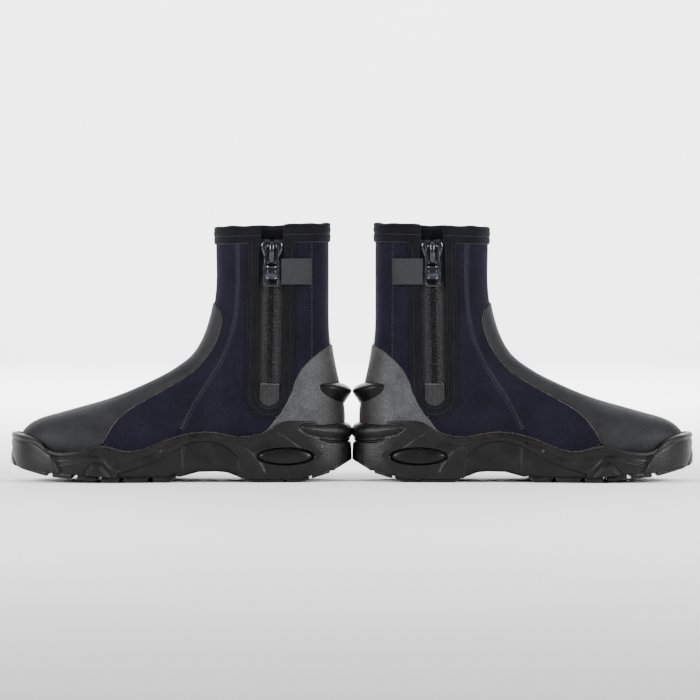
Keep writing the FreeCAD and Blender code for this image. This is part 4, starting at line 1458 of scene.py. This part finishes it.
def side_inserts():
    """Smooth oval plugs, crowned, one in each side of the heel."""
    shape = Shape()
    ring_share = np.concatenate([np.linspace(0, 0.8, 12), [0.87, 0.93, 0.97, 0.99, 1.0]])
    turns = np.linspace(0, 2 * math.pi, 73)[:-1]
    for side in (-1, 1):
        x = OVAL_CENTRE[0] + np.outer(ring_share, np.cos(turns)) * (OVAL_HALF[0] - 0.1)
        z = OVAL_CENTRE[1] + np.outer(ring_share, np.sin(turns)) * (OVAL_HALF[1] - 0.1)
        wall = half_width(x, side) - wall_draw(z)
        crown = -2.0 + 3.1 * np.sqrt(np.maximum(1 - ring_share[:, None] ** 5, 0))
        y = side * (wall + crown)
        front = np.stack([x, y, z], axis=-1)
        back = np.stack([x, side * (wall - 3.0), z], axis=-1)
        size = front.shape[0] * front.shape[1]
        faces = grid_faces(*front.shape[:2], wrap=True)
        faces += grid_faces(*front.shape[:2], wrap=True, flip=True, start=size)
        last = (front.shape[0] - 1) * front.shape[1]
        rim = [(last + n, last + (n + 1) % len(turns)) for n in range(len(turns))]
        faces += [[b, a, a + size, b + size] for a, b in rim]
        both = np.concatenate([front.reshape(-1, 3), back.reshape(-1, 3)])
        shape.add(both, faces, both[:, [0, 2, 0]])
    return shape


def guard_span(x):
    """The lower and the upper height of the toe bumper."""
    low = sole_bottom_z(x) + tread_depth(x) - 0.8
    return low, np.maximum(sole_top_z(x) + 2.0, low + 8)


def toe_guard():
    """The bumper bonded round the toe, with a rolled top edge and two moulded grooves."""
    edge = smooth_line(GUARD_EDGE, 200)
    heights = np.concatenate([[0, 0.02, 0.05], np.linspace(0.09, 0.90, 34), [0.94, 0.97, 0.99, 1.0]])
    columns = 260
    outer, inner = [], []
    middle = int(np.argmax(PLAN[:, 0]))
    widest = (int(np.argmin(PLAN[:, 1])), int(np.argmax(PLAN[:, 1])))
    order = np.arange(len(PLAN))
    for share in heights:
        x_edge = 268.0
        for _ in range(4):
            low_here, top_here = guard_span(x_edge)
            x_edge = np.interp(low_here + share * (top_here - low_here), edge[:, 1], edge[:, 0])
        first = np.interp(x_edge, PLAN[widest[0]:middle, 0], order[widest[0]:middle])
        last = np.interp(-x_edge, -PLAN[middle:widest[1], 0], order[middle:widest[1]])
        index = np.linspace(first, last, columns)
        plan = at_index(PLAN, index)
        x = plan[:, 0]
        low, top = guard_span(x)
        z = low + share * (top - low)
        side_edge_share = np.minimum(np.arange(columns), np.arange(columns)[::-1]) * 0.55
        rim = np.minimum.reduce([side_edge_share, (1 - share) * 34 + 0 * x, share * 60 + 0 * x])
        thick = -0.6 + 2.5 * np.sqrt(1 - (1 - np.clip(rim / 1.8, 0, 1)) ** 2)
        thick += 0.7 * bump(top - z - 2.6, 1.4) * (rim > 0.5)
        thick -= 0.5 * bump(top - z - 5.6, 0.8)
        lean = line_distance(x, z, [(291, 8), (296, 20), (299.5, 31)])
        thick -= 0.9 * bump(lean, 0.9)
        outer.append(np.concatenate([plan_inset(plan, wall_draw(z) - thick), z[:, None]], axis=1))
        inner.append(np.concatenate([plan_inset(plan, wall_draw(z) + 1.6), z[:, None]], axis=1))
    outer, inner = np.array(outer), np.array(inner)
    return sheet(outer, inner, outer[..., [0, 2, 0]])


def insole():
    """The footbed, seen down the shaft."""
    line = smooth_line(INSOLE_TOP, 300)
    share = np.linspace(-1, 1, 60)
    x = np.linspace(14, 280, 140)
    z = np.interp(x, line[:, 0], line[:, 1])
    edge = np.stack([x, z + 2], axis=1)
    medial, lateral = [np.maximum(np.abs(skin(*locate(edge, side))[:, 1:2]) - 5.6, 1) for side in (-1, 1)]
    y = np.where(share < 0, share * medial, share * lateral)
    height = z[:, None] - 0.3 + 1.6 * np.abs(share) ** 4
    points = np.stack(np.broadcast_arrays(x[:, None], y, height), axis=-1)
    return sheet(points, points - [0, 0, 3.5], points[..., [0, 1, 0]])


def sock_sole():
    """The sock's bottom panel, between the footbed and the sole."""
    rows = np.linspace(row_at(12, 36), FORM_LENGTH - 3, 110)
    return band(rows, hem_lateral(rows), 1 + hem_medial(rows), 30, lambda distance: -0.3, NEOPRENE)


pair("outsole_look", outsole(), SOLE_RUBBER, ["outsole"])
pair("toe_guard_look", toe_guard(), SOLE_RUBBER, ["toe_guard"])
pair("side_inserts_look", side_inserts(), INSERT_RUBBER, ["side_inserts"])
pair("insole_look", insole(), FOAM, ["insole"])
pair("sock_sole_look", sock_sole(), KNIT, ["sock_sole"])

for boot in ("left", "right"):
    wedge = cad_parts[f"{boot}_heel_wedge"]
    wedge.data.materials.clear()
    wedge.data.materials.append(FOAM)


# --- stage, light and camera ---------------------------------------------------------------------

def stage():
    """A seamless sweep: floor, curve and wall in one sheet."""
    half_width, front, back, bend, wall_top = 8.0, -8.0, 4.6, 1.4, 7.0
    sunk = 0.0004            # below the soles, so that the two don't share a plane
    turn = np.linspace(0, math.pi / 2, 24)
    profile = [(front, 0.0), (0.0, 0.0), (back, 0.0)]
    profile += [(back + bend * math.sin(a), bend - bend * math.cos(a)) for a in turn[1:]]
    profile += [(back + bend, wall_top)]
    points = [(x, y, z) for y, z in profile for x in (-half_width, 0.0, half_width)]
    mesh = bpy.data.meshes.new("floor")
    mesh.from_pydata(points, [], grid_faces(len(profile), 3, flip=True))
    mesh.shade_smooth()
    mesh.materials.append(floor_material())
    floor = bpy.data.objects.new("floor", mesh)
    floor.location.z = -sunk
    bpy.context.scene.collection.objects.link(floor)


def softbox(name, place, target, size, power):
    light = bpy.data.lights.new(name, "AREA")
    light.shape = "RECTANGLE"
    light.size, light.size_y = size
    light.energy = power
    lamp = bpy.data.objects.new(name, light)
    lamp.location = place
    lamp.rotation_euler = (Vector(target) - Vector(place)).to_track_quat("-Z", "Y").to_euler()
    bpy.context.scene.collection.objects.link(lamp)


ROOM = 0.40
SIDE_WATTS = 62
TOP_WATTS = 8
WALL_WATTS = 950


def light_and_camera():
    world = bpy.data.worlds.new("studio")
    bpy.context.scene.world = world
    world.use_nodes = True
    world.node_tree.nodes["Background"].inputs["Color"].default_value = (1.0, 1.0, 1.0, 1)
    world.node_tree.nodes["Background"].inputs["Strength"].default_value = ROOM
    softbox("left", (-1.5, -1.0, 0.75), (-0.15, 0, 0.1), (0.4, 0.8), SIDE_WATTS)
    softbox("right", (1.5, -1.0, 0.75), (0.15, 0, 0.1), (0.4, 0.8), SIDE_WATTS)
    softbox("top", (0.0, -0.2, 1.7), (0, 0, 0.1), (1.6, 0.4), TOP_WATTS)
    softbox("wall_wash", (0.0, 1.5, 2.8), (0, 5.2, 0.6), (4.5, 0.7), WALL_WATTS)
    data = bpy.data.cameras.new("camera")
    camera = bpy.data.objects.new("camera", data)
    distance, frame_width = 4.0, 0.6174
    data.sensor_width = 36.0
    data.lens = 36.0 * distance / frame_width
    data.clip_end = 50
    aim = Vector((-0.0018, 0.0, 0.1147))
    rise = math.radians(1.2)
    camera.location = aim + Vector((0, -math.cos(rise), math.sin(rise))) * distance
    camera.rotation_euler = (aim - camera.location).to_track_quat("-Z", "Y").to_euler()
    bpy.context.scene.collection.objects.link(camera)
    bpy.context.scene.camera = camera


stage()
light_and_camera()
